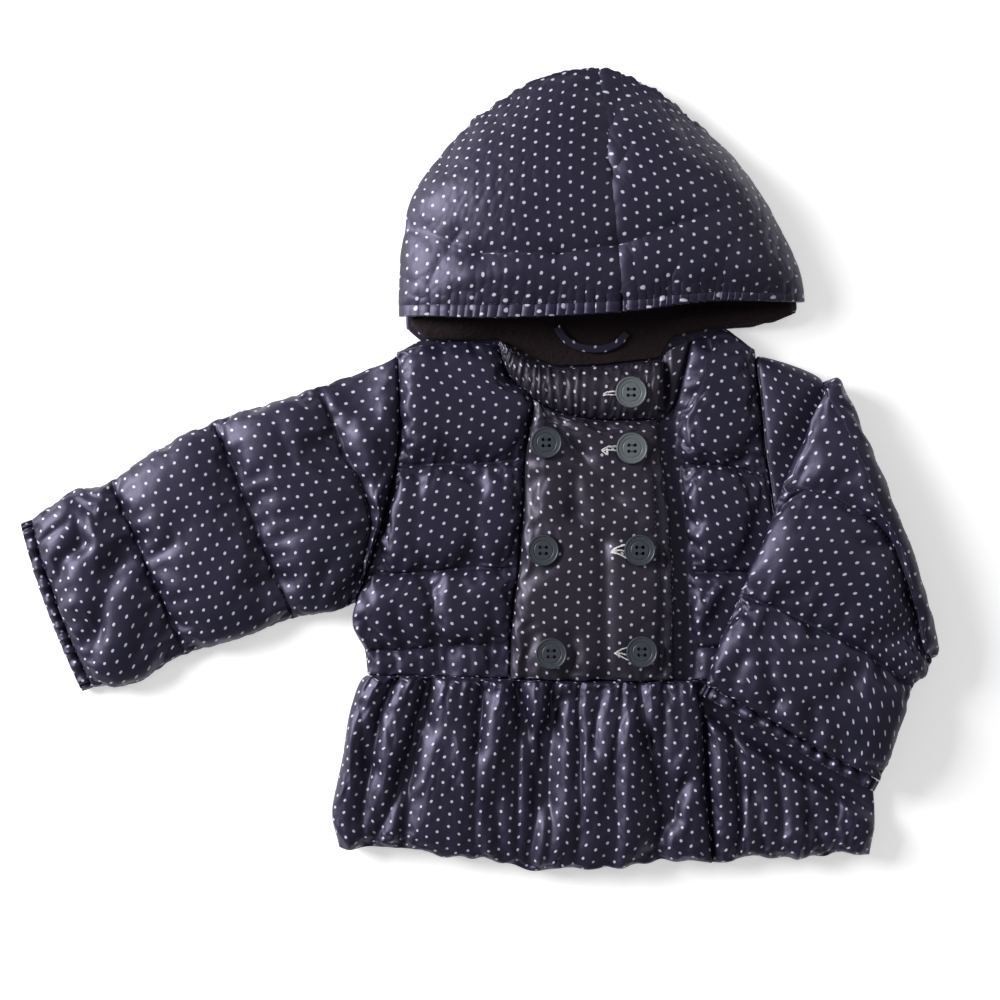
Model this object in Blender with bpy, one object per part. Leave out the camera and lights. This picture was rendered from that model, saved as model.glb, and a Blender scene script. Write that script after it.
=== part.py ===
"""A small child's hooded puffer coat, laid flat and face up on a surface.

Object frame: metres, +Z up, the surface is z = 0, +Y points to the hood. The tables below are in
millimetres. Left and right are the wearer's: the wearer's right is at -X. The right sleeve is
stretched out, the left one is folded over the front, and the right front laps over the left.
Each padded panel is a closed wall with a plain inside and its quilting raised on the outside.
"""

from collections import namedtuple
from math import cos, exp, hypot, pi, sin

import bmesh
import bpy
from mathutils import Vector
from mathutils.bvhtree import BVHTree

MM = 0.001

# --- driving dimensions, mm -----------------------------------------------------------------
SEAM_GAP = 0.3
PRESSED = 6.0  # a padded wall lying flat under the rest of the coat
UNDERLAP = 3.0  # the left front's edge under the right one
VALLEY = 3.6  # a front wall at a quilting line
LOFT = 9.5  # how far a free puff of the body rises above its quilting lines
SKIRT_LOFT = 11.0
SLEEVE_LOFT = 12.0
HOOD_RISE = 31.0  # the hood's dome above its under wall
HOOD_WALL = 8.0
SLEEVE_SLOT = 3.0  # the space between a flattened sleeve's two walls
SLEEVE_EDGE = 6.5  # height of a flattened sleeve's rounded edge
UNDER_SLEEVE = 13.4  # everything under the folded sleeve is pressed down to this
CUFF_WIDTH = 8.0
BUTTON_RADIUS = 10.0
BUTTON_HEIGHT = 3.2
BUTTON_HOLE_RADIUS = 1.3
BUTTON_HOLE_OFFSET = 2.0  # of each hole from the button's centre, along X and along Y

FRONT_BASE = PRESSED + SEAM_GAP
LAP_BASE = FRONT_BASE + UNDERLAP + SEAM_GAP

Row = namedtuple("Row", "name points")
Channel = namedtuple("Channel", "first last loft steps")
Fold = namedtuple("Fold", "x0 y0 x1 y1 half_width depth")
Finish = namedtuple("Finish", "name colour roughness")

SHELL = Finish("navy_polyester", (0.024, 0.022, 0.045, 1.0), 0.35)
PLACKET = Finish("grey_navy_polyester", (0.040, 0.034, 0.044, 1.0), 0.4)
FLEECE = Finish("dark_fleece", (0.011, 0.008, 0.009, 1.0), 0.95)
HORN = Finish("slate_button_plastic", (0.045, 0.058, 0.068, 1.0), 0.35)


# --- curves and surfaces --------------------------------------------------------------------
def smooth(t):
    t = min(max(t, 0.0), 1.0)
    return t * t * (3 - 2 * t)


def spline(points, t):
    """The point at t of a smooth curve through the points, which lie at t = 0, 1, 2 ..."""
    last = len(points) - 1
    i = min(max(int(t), 0), last - 1)
    f = t - i
    before = points[i - 1] if i else [2 * a - b for a, b in zip(points[0], points[1])]
    after = points[i + 2] if i + 2 <= last else [2 * a - b for a, b in zip(points[last], points[last - 1])]
    return tuple(
        0.5 * (2 * b + (c - a) * f + (2 * a - 5 * b + 4 * c - d) * f**2 + (3 * b - a - 3 * c + d) * f**3)
        for a, b, c, d in zip(before, points[i], points[i + 1], after)
    )


def height_on(table, at):
    """Linear interpolation in a table of (position, value) pairs with rising positions."""
    if at <= table[0][0]:
        return table[0][1]
    for (a, low), (b, high) in zip(table, table[1:]):
        if at <= b:
            return low + (high - low) * (at - a) / (b - a)
    return table[-1][1]


def along(points, fraction):
    """The point at a fraction of a polyline's length."""
    steps = [hypot(b[0] - a[0], b[1] - a[1]) for a, b in zip(points, points[1:])]
    left = fraction * sum(steps)
    for (a, b), step in zip(zip(points, points[1:]), steps):
        if left <= step or b is points[-1]:
            f = min(left / step, 1.0)
            return (a[0] + (b[0] - a[0]) * f, a[1] + (b[1] - a[1]) * f)
        left -= step
    return points[-1]


def moved_left(points, distance):
    """The polyline moved sideways, to the left of the way it runs."""
    moved = []
    for i, (x, y) in enumerate(points):
        ax, ay = points[max(i - 1, 0)]
        bx, by = points[min(i + 1, len(points) - 1)]
        length = hypot(bx - ax, by - ay)
        moved.append((x - (by - ay) / length * distance, y + (bx - ax) / length * distance))
    return moved


def net(rows, first=None, left=None):
    """A plan surface through the rows of a table: u runs along a row from 0 to 1, v counts the rows.
    first(u) and left(v) replace the first row and the left edge where a seam fixes them."""

    def base(u, v):
        return spline([spline(row.points, u * (len(row.points) - 1)) for row in rows], v)

    def place(u, v):
        x, y = base(u, v)
        if first and v < 1:
            (fx, fy), (bx, by) = first(u), base(u, 0)
            x, y = x + (1 - v) ** 2 * (fx - bx), y + (1 - v) ** 2 * (fy - by)
        if left:
            (fx, fy), (bx, by) = left(v), base(0, v)
            x, y = x + (1 - u) ** 2 * (fx - bx), y + (1 - u) ** 2 * (fy - by)
        return x, y

    return place


def eased(steps, start=0.0, end=1.0):
    """Places from start to end, closer together near both."""
    return [start + (end - start) * (0.5 - 0.5 * cos(pi * i / steps)) for i in range(steps + 1)]


def channel_rows(channels):
    rows = []
    for channel in channels:
        rows += eased(channel.steps, channel.first, channel.last)[1 if rows else 0 :]
    return rows


def puff(channels, v):
    """How far the padding rises at v: nothing at a quilting line, the channel's loft at its middle."""
    for channel in channels:
        if channel.first <= v <= channel.last:
            f = (v - channel.first) / (channel.last - channel.first)
            return channel.loft * (1 - abs(2 * f - 1) ** 2.2) ** 0.6
    return 0.0


def side(u, sharpness=7):
    """1 over most of a panel, falling to 0 at its two side seams."""
    return (1 - abs(2 * u - 1) ** sharpness) ** 0.5


def creases(folds, x, y):
    """Depth of the folds at a plan point. A ridge has a negative depth."""
    total = 0.0
    for fold in folds:
        dx, dy = fold.x1 - fold.x0, fold.y1 - fold.y0
        f = ((x - fold.x0) * dx + (y - fold.y0) * dy) / (dx * dx + dy * dy)
        f = min(max(f, 0.0), 1.0)
        d = hypot(x - fold.x0 - f * dx, y - fold.y0 - f * dy)
        total += fold.depth * exp(-((d / fold.half_width) ** 2))
    return total


# --- making solids --------------------------------------------------------------------------
def material(finish):
    found = bpy.data.materials.get(finish.name)
    if found:
        return found
    made = bpy.data.materials.new(finish.name)
    made.use_nodes = True
    shader = made.node_tree.nodes["Principled BSDF"]
    shader.inputs["Base Color"].default_value = finish.colour
    shader.inputs["Roughness"].default_value = finish.roughness
    shader.inputs["Metallic"].default_value = 0.0
    return made


def solid(bm, name, finish):
    """An object from a bmesh. Level stretches such as undersides become single faces."""

    def level(face):
        heights = [vert.co.z for vert in face.verts]
        return max(heights) - min(heights) < 1e-8

    inside = [e for e in bm.edges if len(e.link_faces) == 2 and all(level(f) for f in e.link_faces)]
    bmesh.ops.dissolve_edges(bm, edges=inside, use_verts=True)
    bmesh.ops.recalc_face_normals(bm, faces=bm.faces)
    mesh = bpy.data.meshes.new(name)
    bm.to_mesh(mesh)
    bm.free()
    mesh.materials.append(material(finish))
    mesh.shade_smooth()
    mesh.set_sharp_from_angle(angle=0.7)
    made = bpy.data.objects.new(name, mesh)
    bpy.context.scene.collection.objects.link(made)
    return made


def slab(name, finish, place, columns, rows, top, under, ruffle=None):
    """A wall over a plan surface: top and under give its heights, ruffle(i, u, v) the gathers."""
    bm = bmesh.new()
    bmesh.ops.create_grid(bm, x_segments=len(columns) - 1, y_segments=len(rows) - 1, size=0.5)
    raised = set(bmesh.ops.extrude_face_region(bm, geom=bm.faces[:])["geom"])
    for vert in bm.verts:
        i = round((vert.co.x + 0.5) * (len(columns) - 1))
        j = round((vert.co.y + 0.5) * (len(rows) - 1))
        u, v = columns[i], rows[j]
        x, y = place(u, v)
        if vert in raised:
            z = top(u, v, x, y) + (ruffle(i, u, v) if ruffle else 0.0)
        else:
            z = under(u, v, x, y)
        vert.co = Vector((x, y, z)) * MM
    return solid(bm, name, finish)


def skin(bm, shape, around, stations, mark):
    """A wrapped grid of the points shape(i, t, s), with t once round and s the station."""
    before = set(bm.verts)
    bmesh.ops.create_grid(bm, x_segments=around, y_segments=len(stations) - 1, size=0.5)
    made = [vert for vert in bm.verts if vert not in before]
    for vert in made:
        i = round((vert.co.x + 0.5) * around) % around
        j = round((vert.co.y + 0.5) * (len(stations) - 1))
        vert[mark] = j
        vert.co = Vector(shape(i, i / around, stations[j])) * MM
    bmesh.ops.remove_doubles(bm, verts=made, dist=1e-7)


def tube(name, finish, outer, inner, around, stations):
    """A flattened tube with a wall, open at both ends."""
    bm = bmesh.new()
    mark = bm.verts.layers.int.new("station")
    skin(bm, outer, around, stations, mark)
    skin(bm, inner, around, stations, mark)
    for end in (0, len(stations) - 1):
        rim = [e for e in bm.edges if e.is_boundary and all(v[mark] == end for v in e.verts)]
        bmesh.ops.bridge_loops(bm, edges=rim)
    return solid(bm, name, finish)


# --- where the seams run --------------------------------------------------------------------
# Across the waist, from the right side seam to the left one.
WAIST = ((-72, -131.5), (-40, -131.3), (-10, -132.2), (20, -133.6), (60, -134.6), (100, -135.0), (230, -134.0))
# The back's top edge: right shoulder, neck seam, left shoulder.
BACK_TOP = ((-52, 74.0), (-37, 82.5), (13, 80.8), (84, 80.8), (136, 83.5), (159, 90.0), (177, 76.5))
# The hood's neck edge follows the back's between the shoulders and turns up outside them.
HOOD_NECK = ((-46, 91.0), (-37, 83.2), (13, 81.4), (84, 81.4), (136, 84.4), (159, 90.9), (177, 92.0), (204, 101.0))
# The free edge of the right front and its collar, over the left front, as (y, x).
PANEL_EDGE = ((-135, 126.6), (-98, 126.2), (-60, 125.2), (-22, 122.7), (18, 118.2), (32, 117.8), (72, 118))
# The lining's lower lip: along the neck seam, round the collar's top edge, and back to the neck seam.
LIP = (
    (-43, 93),
    (-34, 84.6),
    (-22, 83.4),
    (8, 83.6),
    (13, 84.6),
    (24, 78.6),
    (36, 71.6),
    (51, 66.8),
    (78, 67.6),
    (100, 70.2),
    (117, 72),
    (119.5, 79),
    (125, 85.5),
    (133, 88),
    (150, 91),
    (160, 92.3),
    (189, 94.5),
    (202, 100),
)
BRIM = ((-46, 98), (14, 95.5), (91, 99), (146, 106), (205, 107))
# The folded sleeve's edge that lies over the front, as (y, x), and its cuff line.
SLEEVE_OVER_FRONT = ((-145, 136), (-110, 150), (-79, 166), (-50, 180), (-12, 193), (17, 205), (51, 216), (62, 233))
CUFF_OVER_FRONT = ((140, -158), (256, -226))
# The left front's edge under the right one, as (y, x).
LAP_EDGE = ((-250, 92), (-134, 87), (-58, 84), (-3, 86), (20, 92))

RIGHT_SIDE_ROWS = (
    Row("shoulder", ((-52, 76), (-30, 81), (-8, 82), (12.5, 80))),
    Row("neck side", ((-51, 58), (-27, 61), (-3, 61), (20, 60))),
    Row("lap top", ((-50.5, 42), (-22, 44), (7, 45), (34, 46))),
    Row("chest", ((-50.5, 24), (-22, 26), (5, 27), (33, 26))),
    Row("quilting 1", ((-53, 2), (-27, 3.5), (2, 4), (30, 7))),
    Row("ribs", ((-61, -32), (-33, -31), (-2, -30), (28.5, -29))),
    Row("quilting 2", ((-71, -65), (-40, -66), (-8, -63), (26, -63))),
    Row("side", ((-80, -97), (-50, -92), (-14, -90), (22.5, -89))),
    Row("casing", ((-72, -116), (-42, -115), (-11, -112.5), (20.5, -113))),
    Row("waist", ((-70, -131.5), (-40, -131), (-10, -132), (20, -133.5))),
)
RIGHT_SIDE_CHANNELS = (
    Channel(0, 4, LOFT, 10),
    Channel(4, 6, LOFT, 6),
    Channel(6, 8, LOFT, 6),
    Channel(8, 9, 0.5 * LOFT, 3),
)
RIGHT_SIDE_FOLDS = (
    Fold(-30, -77, -23, -126, 7, 4.0),
    Fold(-52, -90, -48, -112, 5, 2.5),
    Fold(8, -88, 12, -124, 6, 3.0),
    Fold(-20, 60, 12, 30, 9, 2.5),
)
PANEL_ROWS = (
    Row("neck seam", ((35, 45.5), (51, 37), (71, 32.5), (92, 31.5), (115, 32))),
    Row("chest", ((33, 20), (53, 18), (75, 17), (96, 17), (117, 18))),
    Row("ribs", ((29, -20), (52, -20), (76, -21), (99, -21), (122, -22))),
    Row("side", ((27, -60), (52, -60), (76, -60), (100, -60), (124.5, -60))),
    Row("casing", ((22, -98), (48, -98), (74, -98), (100, -98), (125.5, -98))),
    Row("waist", ((20, -133.5), (46, -134.5), (73, -135), (100, -135), (126, -135))),
)
PANEL_FOLDS = (
    Fold(47, 30, 65, 11, 6, 3.0),
    Fold(65, 11, 86, -19, 6, 3.0),
    Fold(61, -6, 62, -29, 6, 3.0),
    Fold(62, -29, 80, -46, 6, 3.5),
    Fold(80, -46, 82, -132, 6, 3.0),
    Fold(84, -11, 102, -31, 5, 2.0),
    Fold(112, 10, 117, -60, 4, 2.2),
    Fold(117, -60, 117, -130, 4, 2.2),
    Fold(34, -100, 31, -132, 6, 2.5),
    Fold(60, -108, 58, -134, 5, 3.0),
)
LEFT_ROWS = (
    Row("shoulder", ((137, 84), (147, 86), (158, 89.5), (168, 84), (177, 76))),
    Row("neck side", ((131, 60), (142, 60), (154, 60), (167, 58.5), (179, 57))),
    Row("lap top", ((123, 38), (130, 38), (145, 38), (163, 38), (181, 38))),
    Row("chest", ((94, 16), (119, 17), (139, 16), (161, 16), (183, 16))),
    Row("quilting 1", ((86, 0), (121.4, 2), (141, 3), (165, 1), (186.5, -5))),
    Row("ribs", ((84.5, -32), (124, -32), (146, -32), (170, -34), (192, -38))),
    Row("quilting 2", ((84, -66), (125.6, -66), (152, -65.5), (180, -66), (210, -68))),
    Row("side", ((85, -92), (126.6, -92), (157, -92), (190, -92), (230, -94))),
    Row("casing", ((86, -114), (127, -114), (160, -114), (196, -114), (233, -115))),
    Row("waist", ((87, -134), (127.3, -135), (160, -134.5), (194, -134), (228, -134))),
)
LEFT_CHANNELS = RIGHT_SIDE_CHANNELS
LEFT_FOLDS = (
    Fold(123, -5, 138, -58, 7, 3.5),
    Fold(132, -78, 140, -130, 6, 3.0),
    Fold(140, 60, 128, 22, 6, 2.0),
)
SKIRT_RIGHT_ROWS = (
    Row("waist", ((-70, -132), (-28, -132.5), (14, -133.8), (57, -134.8), (99, -135.3), (141, -135.5))),
    Row("upper", ((-81, -150), (-35, -152), (11, -153), (55, -154), (100, -154), (143, -154))),
    Row("middle", ((-87, -184), (-40, -188), (8, -190), (55, -190), (100, -190), (145.5, -189))),
    Row("lower", ((-93.5, -218), (-44, -224), (6, -228), (56, -228), (103, -226), (148, -222))),
    Row("hem", ((-89, -241), (-45, -243), (3, -250), (52, -256.3), (104, -252), (150, -250))),
)
SKIRT_LEFT_ROWS = (
    Row("waist", ((88, -135), (141.5, -135.2), (170, -134.8), (199, -134.5), (228, -134.2))),
    Row("upper", ((89, -154), (143.5, -154), (176, -153), (208, -153), (240, -152))),
    Row("middle", ((90, -189), (146, -189), (181, -188), (216, -188), (251, -188))),
    Row("lower", ((91, -222), (148.5, -222), (184, -224), (219, -224), (254.5, -222))),
    Row("hem", ((92, -247), (150.6, -250), (181, -249), (215, -247.5), (251, -246))),
)
SKIRT_FOLDS = (
    Fold(-31, -137, -36, -161, 6, 6.0),
    Fold(-36, -161, -47, -194, 7, 7.0),
    Fold(-47, -194, -66, -236, 7, 6.0),
    Fold(24, -140, 31, -164, 6, 4.5),
    Fold(31, -164, 37, -196, 7, 4.0),
    Fold(54, -146, 44, -170, 6, 7.0),
    Fold(44, -170, 40, -210, 7, 8.0),
    Fold(40, -210, 33, -250, 7, 7.0),
    Fold(104, -138, 108, -174, 6, 5.5),
    Fold(108, -174, 119, -207, 6, 5.0),
    Fold(119, -207, 126, -222, 6, 4.0),
    Fold(134, -198, 112, -244, 6, 5.0),
    Fold(98, -162, 95, -246, 8, -3.0),
    Fold(-41, -209, -51, -244, 4, 3.5),
    Fold(176, -206, 183, -238, 7, 4.5),
    Fold(214, -222, 222, -244, 6, 4.0),
    Fold(-74, -150, -70, -190, 6, 3.0),
    Fold(4, -140, 0, -175, 6, 3.5),
    Fold(78, -140, 74, -178, 6, 3.5),
    Fold(12, -210, 16, -246, 7, 3.5),
)
HOOD_ROWS = (
    Row("neck", ((-46, 91), (13, 81.3), (84, 81.3), (136, 84), (204, 101))),
    Row("brim", ((-46.5, 98), (14, 95.5), (91, 99), (146, 106), (205, 107))),
    Row("temple", ((-46.5, 128), (20, 130), (89.5, 128.7), (148, 130), (200.5, 130))),
    Row("side", ((-41.5, 166), (22, 168), (86, 166), (144, 168), (183, 165))),
    Row("crown side", ((-26, 193), (28, 206), (82.5, 206), (130, 200), (162, 195))),
    Row("crown", ((0, 222), (40, 249.5), (77.5, 256.5), (106, 246), (134, 223))),
)
HOOD_FOLDS = (
    Fold(3, 136, 51, 135, 8, 4.5),
    Fold(51, 135, 87, 141, 8, 4.5),
    Fold(91, 141, 124, 153, 8, 4.0),
    Fold(124, 153, 150, 163, 7, 3.0),
    Fold(-45, 157, 3, 136, 10, 4.0),
    Fold(-4, 122, 69, 128, 5, -2.0),
    Fold(79, 196, 87, 184, 5, 2.5),
)
COLLAR_TOP = ((14, 83), (24, 77), (36, 70), (51, 65.5), (78, 66.5), (100, 69), (117, 70.5))
RIGHT_SLEEVE_ROWS = (
    Row("armhole", ((-52.5, 73.5), (-51, 20), (-62, -33), (-77, -83))),
    Row("sleeve head", ((-78, 63), (-68, 17), (-65.5, -33), (-79.5, -85))),
    Row("quilting B", ((-103, 53.8), (-87, 14), (-70, -31), (-82, -86.5))),
    Row("upper arm", ((-138, 42.5), (-119, 2), (-102, -42), (-98, -91.5))),
    Row("quilting C", ((-170, 31.5), (-152, -10), (-136, -52), (-118.5, -95.5))),
    Row("elbow", ((-204, 15.5), (-186, -26), (-170, -67), (-151, -108))),
    Row("quilting D", ((-235.5, -6.4), (-219, -44), (-203, -81), (-187.5, -118.5))),
    Row("forearm", ((-262, -14), (-250, -56), (-238, -97), (-221, -137))),
    Row("cuff seam", ((-286.6, -31.5), (-275.5, -69), (-262, -105), (-247, -139.5))),
)
RIGHT_SLEEVE_CHANNELS = (
    Channel(0, 2, 0.8 * SLEEVE_LOFT, 6),
    Channel(2, 4, SLEEVE_LOFT, 6),
    Channel(4, 6, SLEEVE_LOFT, 6),
    Channel(6, 8, SLEEVE_LOFT, 6),
)
RIGHT_SLEEVE_FOLDS = (
    Fold(-221, -50, -232, -63, 8, 3.5),
    Fold(-232, -63, -242, -100, 8, 5.0),
    Fold(-242, -100, -246, -118, 7, 4.0),
    Fold(-259, -15, -253, -49, 7, 4.0),
    Fold(-253, -49, -278, -77, 6, 4.0),
    Fold(-262, -76, -277, -88, 5, 3.0),
    Fold(-140, -72, -137, -92, 6, 3.0),
    Fold(-205, -108, -200, -126, 6, 3.0),
    Fold(-120, 8, -128, 30, 7, 2.0),
    Fold(-96, -60, -104, -84, 6, 3.0),
)
LEFT_SLEEVE_UNDER_ROWS = (
    Row("armhole", ((178, 75.5), (184, 16), (197, -45), (232, -96))),
    Row("under layer", ((205, 68), (219, 8), (238, -52), (266, -108))),
    Row("fold", ((234, 61.5), (255, 1), (277, -58), (298.5, -117))),
)
LEFT_SLEEVE_OVER_ROWS = (
    Row("fold", ((234, 61.5), (255, 1), (277, -58), (298.5, -117))),
    Row("shoulder part", ((210, 24), (244, -8), (270, -52), (291, -121))),
    Row("quilting C", ((193.5, -10), (231, -22), (263, -50), (287.5, -124))),
    Row("elbow", ((181, -47), (216, -58), (251, -81), (284, -131))),
    Row("quilting D", ((166.5, -79), (203, -94), (240, -113), (277, -138))),
    Row("forearm", ((154, -108), (191, -128), (229, -149), (266, -173))),
    Row("cuff seam", ((145, -136), (181, -156), (218, -178), (256, -198))),
)
LEFT_SLEEVE_CHANNELS = (
    Channel(0, 2, SLEEVE_LOFT, 6),
    Channel(2, 4, SLEEVE_LOFT, 6),
    Channel(4, 6, SLEEVE_LOFT, 7),
)
LEFT_SLEEVE_FOLDS = (
    Fold(203, -28, 245, -52, 8, 3.0),
    Fold(186, -96, 200, -118, 7, 3.5),
    Fold(232, -130, 244, -152, 7, 3.5),
    Fold(168, -126, 178, -140, 6, 4.0),
    Fold(196, -134, 206, -160, 6, 4.0),
    Fold(214, -160, 222, -172, 6, 3.5),
)
BUTTON_PLACES = (
    (97.5, 49.3),
    (98.0, 13.7),
    (103.0, -51.2),
    (104.3, -115.8),
    (43.5, 17.3),
    (41.6, -51.2),
    (46.7, -116.9),
)
LOOP_PATH = ((50.5, 92), (56, 84), (65, 79), (78, 77.5), (89, 81), (95.5, 88))


# --- shared heights -------------------------------------------------------------------------
def waist_y(x):
    return height_on(WAIST, x)


def lap_base(x, y):
    """Underside of what lies over the left front's edge: it steps up onto that edge."""
    edge = height_on(LAP_EDGE, y)
    return FRONT_BASE + (LAP_BASE - FRONT_BASE) * smooth((x - edge + 22) / 10)


def over_lap(u, v, x, y):
    return lap_base(x, y)


def front_base(u, v, x, y):
    return FRONT_BASE


def pressed(u, v, x, y):
    return PRESSED


def on_surface(u, v, x, y):
    return 0.0


def under_sleeve(x, y):
    """1 where the folded sleeve lies, falling to 0 a little way outside it."""
    beside = x - height_on(SLEEVE_OVER_FRONT, y)
    below = y - height_on(CUFF_OVER_FRONT, x)
    return smooth((min(beside, below) + 16) / 13)


def pressed_by_sleeve(z, x, y):
    return z + (min(z, UNDER_SLEEVE) - z) * under_sleeve(x, y)


def uneven(i):
    """A steady but irregular size for gather number i, between 0.45 and 1."""
    return 0.72 + 0.28 * sin(2.4 * i + 1.3 * sin(0.7 * i))


def gather_columns(count):
    """Two columns to each gather, a crest and a hollow, unevenly spaced."""
    last = 2 * count
    return [(i + (0.28 * sin(1.9 * i) if 0 < i < last else 0.0)) / last for i in range(last + 1)]


def gathers(height, reach):
    """Crests and hollows that die away over reach, counted in rows from a gathered seam at v = 0."""
    return lambda i, u, v: height * uneven(i) * (-1) ** i * exp(-((v / reach) ** 2))


right_side_place = net(RIGHT_SIDE_ROWS)
left_place = net(LEFT_ROWS)


def to_waist(place, last, gap):
    """The place, with its last row laid along the waist seam."""

    def snapped(u, v):
        x, y = place(u, v)
        return x, y + smooth(v - last + 1) * (waist_y(x) + gap - y)

    return snapped


def from_waist(place):
    def snapped(u, v):
        x, y = place(u, v)
        return x, y + (1 - smooth(v)) * (waist_y(x) - SEAM_GAP / 2 - y)

    return snapped


right_side_place = to_waist(right_side_place, 9, SEAM_GAP / 2)
left_place = to_waist(left_place, 9, SEAM_GAP / 2)


# --- the body -------------------------------------------------------------------------------
def make_back():
    """One padded wall under the fronts, from the neck to the waist seam."""
    inset = 0.8

    def place(u, v):
        left_x, left_y = right_side_place(0, v)
        right_x, right_y = left_place(1, v)
        x = left_x + inset + (right_x - left_x - 2 * inset) * u
        y = left_y + (right_y - left_y) * u
        y += (1 - smooth(v)) * (height_on(BACK_TOP, x) - y)
        return x, y + smooth(v - 8) * (waist_y(x) + SEAM_GAP / 2 - y)

    rows = [i / 2 for i in range(19)]
    columns = [i / 20 for i in range(21)]
    return slab("back", SHELL, place, columns, rows, pressed, on_surface)


def make_front_right_side():
    def top(u, v, x, y):
        rise = puff(RIGHT_SIDE_CHANNELS, v) * side(u)
        return FRONT_BASE + VALLEY + rise - min(creases(RIGHT_SIDE_FOLDS, x, y), rise)

    rows = channel_rows(RIGHT_SIDE_CHANNELS)
    return slab("front_right_side", SHELL, right_side_place, eased(13), rows, top, front_base)


def lap_left_edge(v):
    """The button panel's left edge: the side part's edge, one seam gap further."""
    x, y = right_side_place(1, 2 + v * 7 / 5)
    return x + SEAM_GAP, y


PANEL_COLUMNS = 15
panel_place = to_waist(net(PANEL_ROWS, left=lap_left_edge), 5, SEAM_GAP / 2)


def make_front_right_panel():
    """The lap that carries the buttons: padded but not quilted, with soft standing folds."""

    def top(u, v, x, y):
        rise = 7.5 * side(u) * (1 - abs(2 * v / 5 - 1) ** 9) ** 0.5
        return LAP_BASE + VALLEY + rise - min(creases(PANEL_FOLDS, x, y), rise)

    columns, rows = eased(PANEL_COLUMNS), eased(19, 0, 5)
    return slab("front_right_panel", PLACKET, panel_place, columns, rows, top, over_lap)


def make_front_left():
    """Its first quarter, counted from the front edge, is the thin underlap below the panel."""
    lap = 0.25

    def top(u, v, x, y):
        clear = smooth((x - height_on(PANEL_EDGE, y) - 7) / 11) ** 0.6
        rise = (1.0 + puff(LEFT_CHANNELS, v) * side(0.5 + 0.5 * u)) * clear
        rise -= min(creases(LEFT_FOLDS, x, y), rise)
        return pressed_by_sleeve(FRONT_BASE + UNDERLAP + rise, x, y)

    columns = [0.0, 0.12] + eased(13, lap, 1.0)
    rows = channel_rows(LEFT_CHANNELS)
    return slab("front_left", SHELL, left_place, columns, rows, top, front_base)


# --- the skirt ------------------------------------------------------------------------------
SKIRT_STATIONS = (0.0, 0.25, 0.6, 1.1, 1.7, 2.4, 3.1, 3.6, 3.88, 4.0)  # rows of points, waist to hem


def skirt_rise(v):
    """The skirt swells below the waist seam and rolls under at the hem, between rows 0 and 4."""
    return SKIRT_LOFT * (1 - abs(v / 2 - 1) ** 5) ** 0.55


def skirt_waves(u, v, count):
    """Broad soft waves under the sharp folds."""
    return 1.6 * sin(2 * pi * count * u + 0.8 * sin(5 * u)) * smooth(v) * smooth(4 - v)


def make_peplum_right():
    def top(u, v, x, y):
        rise = skirt_rise(v) * side(u, 14) + skirt_waves(u, v, 9)
        return LAP_BASE + VALLEY + max(rise - creases(SKIRT_FOLDS, x, y), -1.0)

    place = from_waist(net(SKIRT_RIGHT_ROWS))
    columns, ruffle = gather_columns(34), gathers(1.5, 0.7)
    return slab("peplum_right", SHELL, place, columns, SKIRT_STATIONS, top, over_lap, ruffle)


def make_peplum_left():
    lap = 0.25

    def top(u, v, x, y):
        if u <= lap:
            return FRONT_BASE + UNDERLAP
        u_free = (u - lap) / (1 - lap)
        rise = skirt_rise(v) * side(u_free, 14) + skirt_waves(u, v, 5)
        rise = max(rise - creases(SKIRT_FOLDS, x, y), 0.0)
        return pressed_by_sleeve(FRONT_BASE + UNDERLAP + 1.5 + rise, x, y)

    def ruffle(i, u, v):
        if u <= lap:
            return 0.0
        x, y = place(u, v)
        return gathers(1.3, 0.7)(i, u, v) * (1 - under_sleeve(x, y))

    place = from_waist(net(SKIRT_LEFT_ROWS))
    columns = [0.0] + [lap + (1 - lap) * u for u in gather_columns(14)]
    return slab("peplum_left", SHELL, place, columns, SKIRT_STATIONS, top, front_base, ruffle)


def make_peplum_back():
    """The back of the skirt, a little inside the fronts' outline."""
    right, left = net(SKIRT_RIGHT_ROWS), net(SKIRT_LEFT_ROWS)
    inset = 2.0

    def place(u, v):
        split = 0.65
        x, y = right(u / split, v) if u <= split else left(0.25 + 0.75 * (u - split) / (1 - split), v)
        x += inset * (1 - 2 * u)
        y += inset * smooth(v - 3)
        return x, y + (1 - smooth(v)) * (waist_y(x) - SEAM_GAP / 2 - y)

    columns = [i / 30 for i in range(31)]
    rows = [i / 2 for i in range(9)]
    return slab("peplum_back", SHELL, place, columns, rows, pressed, on_surface)


# --- the collar -----------------------------------------------------------------------------
def neck_edge():
    """The right front's neck seam, from the shoulder round to the panel's corner."""
    on_side = [right_side_place(1, v) for v in channel_rows(RIGHT_SIDE_CHANNELS) if v < 1.9]
    on_panel = [panel_place(u, 0) for u in eased(PANEL_COLUMNS)]
    return moved_left(on_side + on_panel, SEAM_GAP + 0.2)


def make_collar_right():
    seam = neck_edge()

    def place(u, v):
        ax, ay = along(seam, u)
        bx, by = spline(COLLAR_TOP, u * (len(COLLAR_TOP) - 1))
        return ax + (bx - ax) * v, ay + (by - ay) * v

    def top(u, v, x, y):
        return LAP_BASE + 4.0 + 6.5 * (1 - abs(2 * v - 1) ** 2.5) * smooth(u * 6 + 0.2)

    def ruffle(i, u, v):
        return 0.9 * uneven(i) * (-1) ** i

    return slab("collar_right", PLACKET, place, gather_columns(20), eased(5), top, over_lap, ruffle)


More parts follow.
